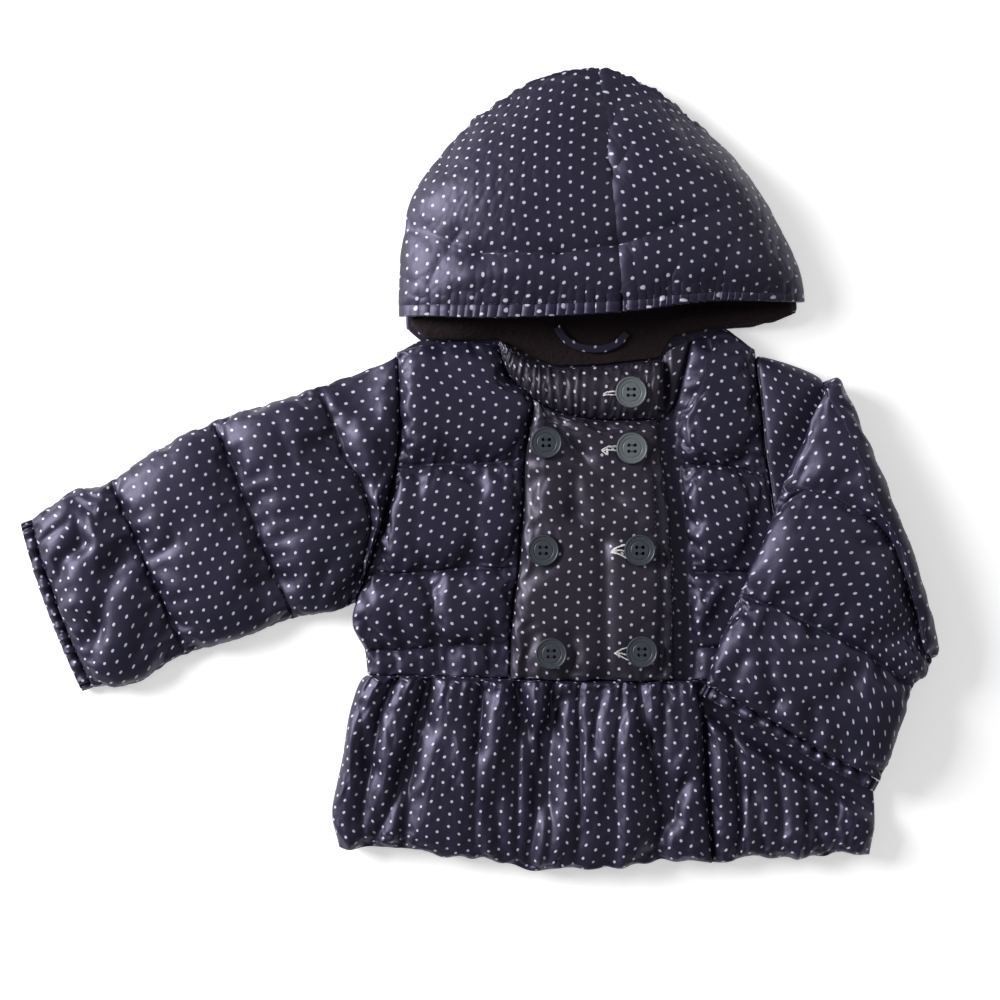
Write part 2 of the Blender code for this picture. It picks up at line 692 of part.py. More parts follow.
def make_collar_left():
    """The left half, mostly under the right one: it shows in the gap beside the left front's neck edge."""
    free = ((120.5, 76), (116, 66), (109, 53), (101, 42))

    def place(u, v):
        ax, ay = left_place(0, v)
        bx, by = spline(free, v / 2 * (len(free) - 1))
        return bx + (ax - SEAM_GAP - 0.1 - bx) * u, by + (ay - by) * u

    def top(u, v, x, y):
        return FRONT_BASE + UNDERLAP + 4.0 * smooth((x - 119) / 5) * smooth(3 * (1 - u) + 0.4)

    rows = [v for v in channel_rows(LEFT_CHANNELS) if v < 2.1]
    return slab("collar_left", PLACKET, place, eased(6), rows, top, front_base)


def make_hanger_loop():
    """A flat tape, folded to a loop and caught in the neck seam at both ends."""
    half_width, thickness, lift = 2.8, 1.4, 10.2

    def place(u, v):
        a = spline(LOOP_PATH, max(u - 0.01, 0.0) * (len(LOOP_PATH) - 1))
        b = spline(LOOP_PATH, min(u + 0.01, 1.0) * (len(LOOP_PATH) - 1))
        length = hypot(b[0] - a[0], b[1] - a[1])
        off = half_width * (2 * v - 1)
        x, y = spline(LOOP_PATH, u * (len(LOOP_PATH) - 1))
        return x - (b[1] - a[1]) / length * off, y + (b[0] - a[0]) / length * off

    under = lambda u, v, x, y: lift
    top = lambda u, v, x, y: lift + thickness
    columns = [i / 14 for i in range(15)]
    return slab("hanger_loop", SHELL, place, columns, [0.0, 1.0], top, under)


# --- the hood -------------------------------------------------------------------------------
hood_net = net(HOOD_ROWS)


def hood_place(u, v):
    x, y = hood_net(u, v)
    return x, y + (1 - smooth(2 * v)) * (height_on(HOOD_NECK, x) - y)


def hood_dome(u, v):
    """Height of the filled hood over its under wall, from the brim, row 1, to the crown, row 5."""
    across = (1 - abs(2 * u - 1) ** 2.6) ** 0.62
    back = (1 - smooth((v - 2.6) / 2.4) ** 1.6) ** 0.6
    mouth = 0.86 + 0.14 * smooth(v - 1)
    return HOOD_RISE * across * back * mouth


def hood_top(u, v, x, y):
    if v < 1:
        return PRESSED
    rise = hood_dome(u, v)
    valley = 1.6 * exp(-(((u - 0.5) / 0.012) ** 2))
    return PRESSED + 3.0 + rise - min(creases(HOOD_FOLDS, x, y) + valley, 0.5 * rise)


def hood_gathers(i, u, v):
    """The elastic brim: small at the sides, strongest a little left of the middle."""
    if v < 1:
        return 0.0
    strength = 0.6 + 0.9 * exp(-(((u - 0.58) / 0.25) ** 2))
    return strength * uneven(i) * (-1) ** i * exp(-(((v - 1) / 0.45) ** 2)) * side(u, 10)


def make_hood_hollow():
    """What is cut out of both halves: the space a head fills, open at the brim."""

    def place(u, v):
        return hood_net(0.5 + (u - 0.5) * 0.9, v)

    def top(u, v, x, y):
        inner = hood_dome(0.5 + (u - 0.5) * 0.94, max(v, 1.0)) + 3.0 - HOOD_WALL
        return PRESSED + max(inner - min(creases(HOOD_FOLDS, x, y), 0.4 * max(inner, 0.0)), 1.2)

    floor = lambda u, v, x, y: PRESSED + 0.05
    rows = [0.72, 0.95, 1.3, 1.8, 2.4, 3.0, 3.6, 4.1, 4.5]
    cutter = slab("hood_hollow_cutter", FLEECE, place, eased(18), rows, top, floor)
    cutter.hide_render = True
    cutter.display_type = "WIRE"
    return cutter


def make_hood_half(name, start, end, seam_shift, hollow):
    def place(u, v):
        x, y = hood_place(u, v)
        return x + (seam_shift if abs(u - 0.5) < 1e-6 else 0.0), y

    columns = [start + (end - start) * u for u in gather_columns(14)]
    rows = [0.0, 0.96, 1.0, 1.12, 1.35, 1.7, 2.1, 2.5, 2.9, 3.4, 3.9, 4.35, 4.7, 4.9, 5.0]
    made = slab(name, SHELL, place, columns, rows, hood_top, on_surface, hood_gathers)
    cut = made.modifiers.new("hollow", "BOOLEAN")
    cut.operation = "DIFFERENCE"
    cut.object = hollow
    return made


def make_hood_lining():
    """Dark pile at the hood's mouth: thick lips at both sides, a deep hollow between them. Rows 0 to 1
    run from the lip to the brim, rows 2 to 3 lie inside the hood, clear of its walls."""
    outside, inside, depth = (-43.0, 202.0), (-18.0, 178.0), 27.0

    def place(u, v):
        if v <= 1:
            x = outside[0] + (outside[1] - outside[0]) * u
            low, high = height_on(LIP, x), height_on(BRIM, x) - 1.8
            return x, low + (high - low) * v
        x = inside[0] + (inside[1] - inside[0]) * u
        return x, height_on(BRIM, x) + depth * (v - 2)

    def top(u, v, x, y):
        lips = smooth((22 - x) / 36) + smooth((x - 112) / 30)
        pile = 6.5 * lips * (1 - (v - 0.5) ** 2 * 2.4) * side(u, 8) if v <= 1 else 0.0
        return FRONT_BASE + 3.0 + max(pile, 0.0)

    columns = [i / 36 for i in range(37)]
    rows = [0.0, 0.15, 0.5, 0.85, 1.0, 2.0, 3.0]
    return slab("hood_lining", FLEECE, place, columns, rows, top, front_base)


# --- the sleeves ----------------------------------------------------------------------------
AROUND = 24  # points round a sleeve's section


def ring_across(t):
    """How far across the sleeve a point of its section lies, 0 to 1."""
    return 0.5 - 0.5 * cos(2 * pi * t)


def flat_side(t):
    """0 at the section's two edges and 1 over nearly all of a side that lies flat."""
    return min(1.0, 2.2 * abs(sin(2 * pi * t)))


def round_side(t):
    return abs(sin(2 * pi * t)) ** 0.8


def make_sleeve_right():
    rows = [0.12] + [v for v in channel_rows(RIGHT_SIDE_CHANNELS) if 0.15 < v < 6.7]
    armhole = moved_left([right_side_place(0, v) for v in rows], -SEAM_GAP - 0.1)
    place = net(RIGHT_SLEEVE_ROWS, first=lambda u: along(armhole, u))

    def outer(i, t, s):
        x, y = place(ring_across(t), s)
        if t > 0.5:
            return x, y, SLEEVE_EDGE * (1 - flat_side(t))
        rise = 3.5 + puff(RIGHT_SLEEVE_CHANNELS, s)
        rise -= min(creases(RIGHT_SLEEVE_FOLDS, x, y), 0.7 * rise)
        return x, y, SLEEVE_EDGE + (rise + 3.0) * round_side(t)

    stations = channel_rows(RIGHT_SLEEVE_CHANNELS)
    return tube("sleeve_right", SHELL, outer, slot_in(place, PRESSED), AROUND, stations)


def slot_in(place, floor):
    """The space inside a flattened sleeve, as the points of its section."""

    def inner(i, t, s):
        x, y = place(0.5 + 0.88 * (ring_across(t) - 0.5), s)
        half = SLEEVE_SLOT / 2
        return x, y, floor + half + (half if t <= 0.5 else -half) * flat_side(t)

    return inner


def cuff(name, seam, away, floor, top_height, count):
    """A gathered casing on the end of a sleeve. seam(u) is the sleeve's end, away the way it points."""
    stations = (0.0, 0.15, 0.5, 0.85, 1.0)
    inset = 1.2

    def at(u, s):
        x, y = seam(u)
        reach = SEAM_GAP + (CUFF_WIDTH - SEAM_GAP) * s
        return x + away[0] * reach, y + away[1] * reach

    def outer(i, t, s):
        x, y = at(ring_across(t), s)
        edge = floor + 5.0
        if t > 0.5:
            return x, y, edge - (edge - floor) * flat_side(t)
        bulge = (top_height - 5.0) * round_side(t) * (0.72 + 0.28 * sin(pi * s))
        return x, y, edge + bulge + 0.9 * uneven(i) * (-1) ** i * flat_side(t)

    def inner(i, t, s):
        x, y = at(0.5 + 0.9 * (ring_across(t) - 0.5), s)
        half = SLEEVE_SLOT / 2
        middle = floor + PRESSED - inset + half
        return x, y, middle + (half if t <= 0.5 else -half) * flat_side(t)

    return tube(name, SHELL, outer, inner, 2 * count, stations)


def make_cuff_right():
    row = RIGHT_SLEEVE_ROWS[-1].points
    seam = lambda u: spline(row, u * (len(row) - 1))
    return cuff("cuff_right", seam, (-0.94, -0.34), 0.0, 13.5, 22)


# The folded sleeve turns over about a line. Its under layer lies on the surface, and the side of
# the tube that touches the surface there comes out on top of the over layer.
FOLD_WAY = (0.934, 0.358)  # plan direction out of the fold
UNDER_MIDDLE = SLEEVE_EDGE
OVER_MIDDLE = 21.3
FOLD_RADIUS = (OVER_MIDDLE - UNDER_MIDDLE) / 2
FOLD_WALL = 9.0  # from the tube's middle to its outside at the fold
INNER_SIDE = FOLD_RADIUS - 0.25  # from the tube's middle to the side that is folded inwards


def make_sleeve_left():
    rows = [0.12] + [v for v in channel_rows(LEFT_CHANNELS) if 0.15 < v < 7.1]
    armhole = moved_left([left_place(1, v) for v in rows], SEAM_GAP + 0.1)
    under_net = net(LEFT_SLEEVE_UNDER_ROWS, first=lambda u: along(armhole, u))
    over_net = net(LEFT_SLEEVE_OVER_ROWS)
    set_back = FOLD_WALL + FOLD_RADIUS
    last = LEFT_SLEEVE_CHANNELS[-1].last

    def middle(w, s):
        """Middle of the tube and the way its outer side faces: s is -1 to 0 in the under layer,
        0 to 1 round the fold, and 1 and more in the over layer."""
        fx, fy = over_net(w, 0)
        hx, hy = fx - FOLD_WAY[0] * set_back, fy - FOLD_WAY[1] * set_back
        if s < 0:
            x, y = under_net(w, 2 * (s + 1))
            share = (s + 1) ** 2
            return (x + (hx - fx) * share, y + (hy - fy) * share, UNDER_MIDDLE), (0, 0, -1)
        if s <= 1:
            turn = pi * (s - 0.5)
            out, up = FOLD_RADIUS * cos(turn), FOLD_RADIUS * sin(turn)
            point = (hx + FOLD_WAY[0] * out, hy + FOLD_WAY[1] * out, UNDER_MIDDLE + FOLD_RADIUS + up)
            return point, (FOLD_WAY[0] * cos(turn), FOLD_WAY[1] * cos(turn), sin(turn))
        v = s - 1
        x, y = over_net(w, v)
        share = max(1 - v / 2, 0.0) ** 2
        return (x + (hx - fx) * share, y + (hy - fy) * share, OVER_MIDDLE), (0, 0, 1)

    def outer(i, t, s):
        point, way = middle(ring_across(t), s)
        x, y = point[0], point[1]
        if t > 0.5:
            h = -INNER_SIDE * flat_side(t)
            if s < 0:
                beyond = -0.88 * (x - 233) + 0.477 * (y - 62)
                h -= 6.5 * smooth((beyond - 4) / 14) * smooth(3 * (s + 1) + 0.3) * round_side(t)
        elif s <= 0:
            h = UNDER_MIDDLE * flat_side(t)
        elif s <= 1:
            h = (UNDER_MIDDLE + (FOLD_WALL - UNDER_MIDDLE) * smooth(2 * s)) * round_side(t) ** 0.5
            h += 2.0 * smooth(2 * s - 1) * round_side(t)
        else:
            v = min(s - 1, last)
            rise = 5.0 + puff(LEFT_SLEEVE_CHANNELS, v)
            rise = max(rise, 11.0 * (1 - v / 0.8)) if v < 0.8 else rise
            rise -= min(creases(LEFT_SLEEVE_FOLDS, x, y), 0.7 * rise)
            h = rise * round_side(t)
        return tuple(p + h * n for p, n in zip(point, way))

    def inner(i, t, s):
        point, way = middle(0.5 + 0.88 * (ring_across(t) - 0.5), s)
        h = (SLEEVE_SLOT / 2 if t <= 0.5 else -SLEEVE_SLOT / 2) * flat_side(t)
        return tuple(p + h * n for p, n in zip(point, way))

    under = [-1.0, -0.94, -0.8, -0.6, -0.4, -0.2, -0.08]
    over = [1 + v for v in channel_rows(LEFT_SLEEVE_CHANNELS)]
    stations = under + [i / 6 for i in range(6)] + over
    return tube("sleeve_left", SHELL, outer, inner, AROUND, stations)


def make_cuff_left():
    row = LEFT_SLEEVE_OVER_ROWS[-1].points
    seam = lambda u: spline(row, u * (len(row) - 1))
    return cuff("cuff_left", seam, (-0.47, -0.88), OVER_MIDDLE - INNER_SIDE, 12.5, 22)


# --- the buttons ----------------------------------------------------------------------------
def button_mesh():
    """A turned four-hole button with a plain raised rim."""
    segments = 20
    profile = (  # radius as a share of the button's, height as a share of its thickness
        (0.92, 0.0),
        (1.0, 0.25),
        (1.0, 0.75),
        (0.86, 1.0),
        (0.68, 0.68),
    )
    bm = bmesh.new()
    bmesh.ops.create_circle(bm, cap_ends=True, segments=segments, radius=profile[0][0] * BUTTON_RADIUS * MM)
    face = bm.faces[:][0]
    for band, (share, height) in enumerate(profile[1:]):
        made = bmesh.ops.extrude_face_region(bm, geom=[face])["geom"]
        if band:
            bmesh.ops.delete(bm, geom=[face], context="FACES_ONLY")
        face = next(item for item in made if isinstance(item, bmesh.types.BMFace))
        for vert in face.verts:
            radius = hypot(vert.co.x, vert.co.y)
            scale = share * BUTTON_RADIUS * MM / radius
            vert.co = Vector((vert.co.x * scale, vert.co.y * scale, height * BUTTON_HEIGHT * MM))
    blank = solid_of_button(bm, "button_blank")
    holes = bmesh.new()
    for side_x in (-1, 1):
        for side_y in (-1, 1):
            cone = bmesh.ops.create_cone(
                holes,
                cap_ends=True,
                segments=6,
                radius1=BUTTON_HOLE_RADIUS * MM,
                radius2=BUTTON_HOLE_RADIUS * MM,
                depth=4 * BUTTON_HEIGHT * MM,
            )
            offset = BUTTON_HOLE_OFFSET * MM
            bmesh.ops.translate(holes, vec=(side_x * offset, side_y * offset, 0), verts=cone["verts"])
    cutter = solid_of_button(holes, "button_hole_cutter")
    cut = blank.modifiers.new("holes", "BOOLEAN")
    cut.operation = "DIFFERENCE"
    cut.object = cutter
    bpy.context.view_layer.update()
    mesh = bpy.data.meshes.new_from_object(blank.evaluated_get(bpy.context.evaluated_depsgraph_get()))
    for helper in (blank, cutter):
        bpy.data.objects.remove(helper)
    return mesh


def solid_of_button(bm, name):
    bmesh.ops.recalc_face_normals(bm, faces=bm.faces)
    mesh = bpy.data.meshes.new(name)
    bm.to_mesh(mesh)
    bm.free()
    mesh.materials.append(material(HORN))
    made = bpy.data.objects.new(name, mesh)
    bpy.context.scene.collection.objects.link(made)
    return made


def seat_height(carrier, x, y):
    """The highest point of the carrier below a button, so that the button just clears it."""
    bm = bmesh.new()
    bm.from_mesh(carrier.data)
    tree = BVHTree.FromBMesh(bm)
    highest = 0.0
    for ring in range(9):
        for step in range(32):
            reach = BUTTON_RADIUS * ring / 8
            at = ((x + reach * cos(pi * step / 16)) * MM, (y + reach * sin(pi * step / 16)) * MM)
            hit = tree.ray_cast(Vector((at[0], at[1], 0.2)), Vector((0, 0, -1)))[0]
            if hit:
                highest = max(highest, hit.z)
    for vert in bm.verts:
        if hypot(vert.co.x - x * MM, vert.co.y - y * MM) < BUTTON_RADIUS * MM:
            highest = max(highest, vert.co.z)
    bm.free()
    return highest


def make_buttons(panel, collar):
    mesh = button_mesh()
    for number, (x, y) in enumerate(BUTTON_PLACES, 1):
        carrier = collar if number == 1 else panel
        made = bpy.data.objects.new(f"button_{number}", mesh)
        made.location = (x * MM, y * MM, seat_height(carrier, x, y) + SEAM_GAP * MM)
        bpy.context.scene.collection.objects.link(made)


def main():
    for old in list(bpy.data.objects):
        bpy.data.objects.remove(old)
    make_back()
    make_front_right_side()
    panel = make_front_right_panel()
    make_front_left()
    make_peplum_right()
    make_peplum_left()
    make_peplum_back()
    collar = make_collar_right()
    make_collar_left()
    make_hanger_loop()
    hollow = make_hood_hollow()
    make_hood_half("hood_right", 0.0, 0.5, -SEAM_GAP / 2, hollow)
    make_hood_half("hood_left", 0.5, 1.0, SEAM_GAP / 2, hollow)
    make_hood_lining()
    make_sleeve_right()
    make_sleeve_left()
    make_cuff_right()
    make_cuff_left()
    make_buttons(panel, collar)


main()
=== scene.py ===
# %% [markdown]
# A small child's hooded puffer coat, laid flat and face up
# =========================================================
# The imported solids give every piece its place. This script dresses them: it cuts each panel as a
# grid of cloth, lets Blender's Cloth puff it up between its seams, and then adds the finishes, the
# buttons, the stitching and the light. Everything is in metres, +Z up. The tables are in
# millimetres. Left and right are the wearer's: the wearer's right is at -X.

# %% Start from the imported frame
from math import cos, pi, radians, sin

import bmesh
import bpy
import numpy as np
from mathutils import Matrix, Vector
from mathutils.bvhtree import BVHTree


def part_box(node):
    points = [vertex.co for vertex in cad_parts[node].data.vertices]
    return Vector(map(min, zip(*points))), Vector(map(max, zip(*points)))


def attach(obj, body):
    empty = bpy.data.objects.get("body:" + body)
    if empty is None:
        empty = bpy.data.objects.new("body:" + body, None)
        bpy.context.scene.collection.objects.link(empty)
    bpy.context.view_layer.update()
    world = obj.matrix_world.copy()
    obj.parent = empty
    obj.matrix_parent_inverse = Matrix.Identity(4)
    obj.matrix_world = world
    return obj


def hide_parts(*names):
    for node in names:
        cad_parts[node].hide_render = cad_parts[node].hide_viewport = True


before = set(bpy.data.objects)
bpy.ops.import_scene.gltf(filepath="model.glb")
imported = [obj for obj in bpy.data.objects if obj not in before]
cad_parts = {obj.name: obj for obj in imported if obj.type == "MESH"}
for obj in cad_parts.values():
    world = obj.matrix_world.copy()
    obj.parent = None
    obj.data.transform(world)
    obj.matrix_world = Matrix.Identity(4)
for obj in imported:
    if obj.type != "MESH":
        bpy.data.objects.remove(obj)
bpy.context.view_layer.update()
MM = 0.001

# %% [markdown]
# The camera comes first. The photo looks straight down on the coat, so the camera does too. Its
# lens is long, because a short one would enlarge the hood, which stands nearer to it.

# %% Camera
PICTURE_WIDTH = 640 * MM  # of the surface, across the whole picture
PICTURE_CENTRE = (14.1 * MM, -19.2 * MM)
LENS, SENSOR = 85.0, 36.0

camera = bpy.data.objects.new("camera", bpy.data.cameras.new("camera"))
camera.data.lens = LENS
camera.data.sensor_width = SENSOR
camera.location = (*PICTURE_CENTRE, PICTURE_WIDTH * LENS / SENSOR + 12 * MM)
bpy.context.scene.collection.objects.link(camera)
bpy.context.scene.camera = camera
print(f"camera {camera.location.z:.2f} m above the surface")

# %% [markdown]
# A seam is a smooth curve through a few measured points. `curve` reads it at any place, and a
# panel is a net of such curves: `net` reads the curves across it and then joins their points with
# curves along it. Both work on whole arrays at once, so a fine panel costs no more than a coarse one.


# %% Curves and nets
def curve(points, at):
    """Places on a smooth curve through the points, which lie at 0, 1, 2 ..."""
    points = np.asarray(points, float)
    ends = np.concatenate([[2 * points[0] - points[1]], points, [2 * points[-1] - points[-2]]])
    i = np.clip(np.floor(at).astype(int), 0, len(points) - 2)
    f = (at - i).reshape(-1, *[1] * (points.ndim - 1))
    a, b, c, d = ends[i], ends[i + 1], ends[i + 2], ends[i + 3]
    bend = (2 * a - 5 * b + 4 * c - d) * f**2 + (3 * b - a - 3 * c + d) * f**3
    return 0.5 * (2 * b + (c - a) * f + bend)


def net(rows, u, v):
    """Plan points of a panel: u runs from 0 to 1 along each row, v counts the rows."""
    across = np.stack([curve(row, u * (len(row) - 1)) for row in rows])
    return curve(across, v)


def smooth(t):
    t = np.clip(t, 0.0, 1.0)
    return t * t * (3 - 2 * t)


def on_table(table, at):
    """Straight-line reading of a table of (position, value) pairs."""
    return np.interp(at, *zip(*table))


def spread(count, start=0.0, end=1.0, closeness=0.5):
    """count + 1 places from start to end, closer together near both ends."""
    even = np.linspace(0, 1, count + 1)
    eased = 0.5 - 0.5 * np.cos(pi * even)
    return start + (end - start) * (closeness * eased + (1 - closeness) * even)


def measured(rows, first, last):
    """Length in mm of a net's middle line between two of its rows."""
    steps = net(rows, np.array([0.5]), np.linspace(first, last, 12))[:, 0]
    return np.linalg.norm(np.diff(steps, axis=0), axis=1).sum()


def moved_left(points, distance):
    """A line of plan points moved sideways, to the left of the way it runs."""
    way = np.gradient(points, axis=0)
    way /= np.linalg.norm(way, axis=1, keepdims=True)
    return points + distance * np.stack([-way[:, 1], way[:, 0]], axis=1)


def along(points, fraction):
    """Places at fractions of a line's length."""
    lengths = np.concatenate([[0], np.cumsum(np.linalg.norm(np.diff(points, axis=0), axis=1))])
    at = fraction * lengths[-1]
    return np.stack([np.interp(at, lengths, points[:, i]) for i in (0, 1)], axis=1)


print("a curve through three points, read halfway:", curve([(0, 0), (1, 1), (2, 0)], np.array([0.5])))

# %% [markdown]
# A quilted panel is a row of channels, each from one stitched line to the next. Its padding stands
# highest halfway between them. Folds that the photo shows are pressed into it.


# %% Quilting
def channel_stations(rows, channels, spacing):
    """Stations along a quilted panel, about a spacing apart, with one on each stitched line."""
    stations = [np.array([channels[0][0]])]
    for first, last, loft in channels:
        count = max(4, round(measured(rows, first, last) / spacing))
        stations.append(spread(count, first, last, 0.35)[1:])
    return np.concatenate(stations)


def on_line(channels, v):
    """1 at the stations that a stitched line or a seam holds, else 0."""
    lines = [channels[0][0]] + [last for first, last, loft in channels]
    return np.isclose(v[:, None], lines).any(axis=1).astype(float)


def puff(channels, v):
    """How far the padding rises at v: nothing at a stitched line, the most halfway between two."""
    rise = np.zeros_like(v)
    for first, last, loft in channels:
        f = (v - first) / (last - first)
        inside = (f >= 0) & (f <= 1)
        rise[inside] = loft * (1 - abs(2 * f[inside] - 1) ** 2.2) ** 0.6
    return rise


def side(u, sharpness=7):
    """1 over most of a panel, falling to 0 at its two side seams."""
    return (1 - abs(2 * u - 1) ** sharpness) ** 0.5


def bell(t, middle, width):
    """1 at the middle and next to nothing two widths away from it."""
    return np.exp(-(((t - middle) / width) ** 2))


def creases(folds, x, y):
    """Depth of the listed folds: each row is x0, y0, x1, y1, half width, depth."""
    total = np.zeros_like(x)
    for x0, y0, x1, y1, half_width, depth in folds:
        dx, dy = x1 - x0, y1 - y0
        f = np.clip(((x - x0) * dx + (y - y0) * dy) / (dx * dx + dy * dy), 0, 1)
        away = np.hypot(x - x0 - f * dx, y - y0 - f * dy)
        total += depth * np.exp(-((away / half_width) ** 1.4))
    return total


def gathers(u, v, count, height, reach):
    """Uneven crests that die away over reach, counted in rows from the gathered seam."""
    wander = u * count + 0.35 * np.sin(30.6 * u) + 0.25 * np.sin(31 * u + 2)
    size = 0.7 + 0.3 * np.sin(2.3 * count * u + 1.0)
    return height * size * np.cos(2 * pi * wander) * bell(v, 0, reach)


def puckers(channels, u, v, count, height):
    """Small gathers on both sides of each stitched line, where the thread draws the cloth in."""
    total = np.zeros((len(v), len(u)))
    for first, last, loft in channels[1:]:
        total += gathers(u + 0.013 * first, abs(v[:, None] - first), count, height, 0.5)
    return total * side(u)


# %% [markdown]
# Cloth is cut flat and then bent, so its pattern follows the cloth and not the view. Each panel
# gets a UV map that is its flat cut in metres: the lengths along its rows and columns, summed
# point by point. The printed dots read that map, so they stay round and evenly spaced on a puff.
#
# The grid comes from `bmesh.ops.create_grid`, whose points are then moved to their places. A
# vertex group says which points a seam holds, for the simulation. The free points are on top, so
# they also tell which way the cloth has to face.


# %% Cutting cloth
def flat_cut(places, grain):
    """The flat cut's coordinates in metres, turned by the grain's angle in degrees."""
    rows, columns = places.shape[:2]
    across = np.zeros((rows, columns))
    across[:, 1:] = np.cumsum(np.linalg.norm(np.diff(places, axis=1), axis=2), axis=1)
    across -= across[:, columns // 2, None]
    lengths = np.linalg.norm(np.diff(places, axis=0), axis=2)
    lengths = 0.5 * lengths + 0.5 * lengths.mean(axis=1, keepdims=True)
    down = np.zeros((rows, columns))
    down[1:] = np.cumsum(lengths, axis=0)
    turn = radians(grain)
    u = across * cos(turn) - down * sin(turn)
    v = across * sin(turn) + down * cos(turn)
    return np.stack([u, v], axis=2) * MM


def cut_cloth(name, places, held, grain=0.0, round_about=False, lines=(), ungathered=None):
    """A mesh object from a grid of places in mm. held is 1 where a seam fixes a point, else 0.
    The rows marked in lines stay sharp when the cloth is rounded off. The flat cut is measured on
    the ungathered places, if given."""
    rows, columns = places.shape[:2]
    held = np.broadcast_to(held, (rows, columns)).ravel()
    bm = bmesh.new()
    cut = bm.loops.layers.uv.new("cut")
    stitched = bm.verts.layers.deform.verify()
    bmesh.ops.create_grid(bm, x_segments=columns - 1, y_segments=rows - 1, size=0.5)
    bm.verts.ensure_lookup_table()
    bm.verts.index_update()
    flat = flat_cut(places if ungathered is None else ungathered, grain).reshape(-1, 2)
    for vert, place, hold in zip(bm.verts, places.reshape(-1, 3) * MM, held):
        vert.co = place
        vert[stitched][0] = float(hold)
    for face in bm.faces:
        for loop in face.loops:
            loop[cut].uv = flat[loop.vert.index]
    sharp = bm.edges.layers.float.new("crease_edge")
    for row in np.flatnonzero(lines):
        for i in range(columns - 1):
            start = bm.verts[row * columns + i]
            end = bm.verts[row * columns + i + 1]
            bm.edges.get((start, end))[sharp] = 0.9
    bm.normal_update()
    free = [f for f in bm.faces if sum(v[stitched][0] for v in f.verts) < 2] or bm.faces[:]
    if sum(face.normal.z * face.calc_area() for face in free) < 0:
        bmesh.ops.reverse_faces(bm, faces=bm.faces[:])
    if round_about:
        ends = [v for v in bm.verts if v.index % columns in (0, columns - 1)]
        bmesh.ops.remove_doubles(bm, verts=ends, dist=1e-6)
    mesh = bpy.data.meshes.new(name)
    bm.to_mesh(mesh)
    bm.free()
    piece = bpy.data.objects.new(name, mesh)
    piece.vertex_groups.new(name="stitched")
    bpy.context.scene.collection.objects.link(piece)
    return piece


def border(shape):
    """1 round the border of a grid, where its seams hold it, else 0."""
    held = np.zeros(shape)
    held[[0, -1]] = 1
    held[:, [0, -1]] = 1
    return held


# %% [markdown]
# Padding pushes the cloth outwards, and quilting holds it down. Blender's Cloth does the same: the
# held points stay, the rest is given a little more cloth than the panel needs (a negative shrink)
# and is blown up by a pressure. The spare cloth then buckles into puckers along the seams, as on
# a real coat, with no crease drawn by hand. Twenty frames are enough. A cap on how far a point may
# move, and a ceiling that flattens what rises past it, keep the piece in the space of its solid.

# %% Puffing up a panel
chance = np.random.default_rng(11)


def coordinates(mesh):
    flat = np.empty(len(mesh.vertices) * 3, np.float32)
    mesh.vertices.foreach_get("co", flat)
    return flat.reshape(-1, 3).astype(float)


def set_coordinates(mesh, places):
    mesh.vertices.foreach_set("co", places.astype(np.float32).ravel())
    mesh.update()


def puff_up(piece, ceiling, spare=0.07, pressure=40.0, most=6.0, stiffness=80.0, frames=20):
    """Simulates the piece with that share of spare cloth. most and ceiling are in mm."""
    start = coordinates(piece.data)
    free = np.array([1 - vert.groups[0].weight for vert in piece.data.vertices])
    start[:, 2] += free * chance.normal(0, 0.15 * MM, len(start))
    set_coordinates(piece.data, start)
    padding = piece.modifiers.new("padding", "CLOTH")
    cloth = padding.settings
    cloth.vertex_group_mass = "stitched"
    cloth.shrink_min = -spare
    cloth.use_pressure = True
    cloth.uniform_pressure_force = pressure
    cloth.use_pressure_volume = True
    cloth.target_volume = 0.0
    cloth.mass = 0.001
    cloth.tension_stiffness = cloth.compression_stiffness = stiffness
    cloth.shear_stiffness = 5.0
    cloth.bending_stiffness = 0.01
    cloth.effector_weights.gravity = 0.0
    padding.collision_settings.use_collision = False
    padding.point_cache.frame_end = frames
    for number in range(1, frames + 1):
        bpy.context.scene.frame_set(number)
    graph = bpy.context.evaluated_depsgraph_get()
    settled = bpy.data.meshes.new_from_object(piece.evaluated_get(graph))
    moves = coordinates(settled) - start
    piece.modifiers.remove(padding)
    bpy.data.meshes.remove(settled)
    bpy.context.scene.frame_set(1)
    lengths = np.linalg.norm(moves, axis=1, keepdims=True)
    moves *= np.tanh(lengths / (most * MM)) * most * MM / np.maximum(lengths, 1e-9)
    end = start + moves
    over = np.maximum(end[:, 2] - ceiling * MM, 0)
    end[:, 2] -= over - 1.5 * MM * np.tanh(over / (3 * MM))
    set_coordinates(piece.data, end)
    top = end[:, 2].max() / MM
    print(f"{piece.name}: {len(start)} points, moved {lengths.max() / MM:.1f} mm, top {top:.1f} mm")


def unroll_walls(bm, lower):
    """Gives a pad's upright walls their own strip of the flat cut, so that their dots stay round."""
    cut = bm.loops.layers.uv["cut"]
    lower = set(lower)
    for face in bm.faces:
        upper = [loop for loop in face.loops if loop.vert not in lower]
        if len(face.loops) != 4 or len(upper) != 2:
            continue
        first = upper[0] if upper[0].link_loop_next.vert not in lower else upper[1]
        second = first.link_loop_next
        edge = second[cut].uv - first[cut].uv
        if edge.length < 1e-9:
            continue
        aside = Vector((edge.y, -edge.x)).normalized()
        for near, far in ((first, first.link_loop_prev), (second, second.link_loop_next)):
            far[cut].uv = near[cut].uv + aside * (far.vert.co - near.vert.co).length


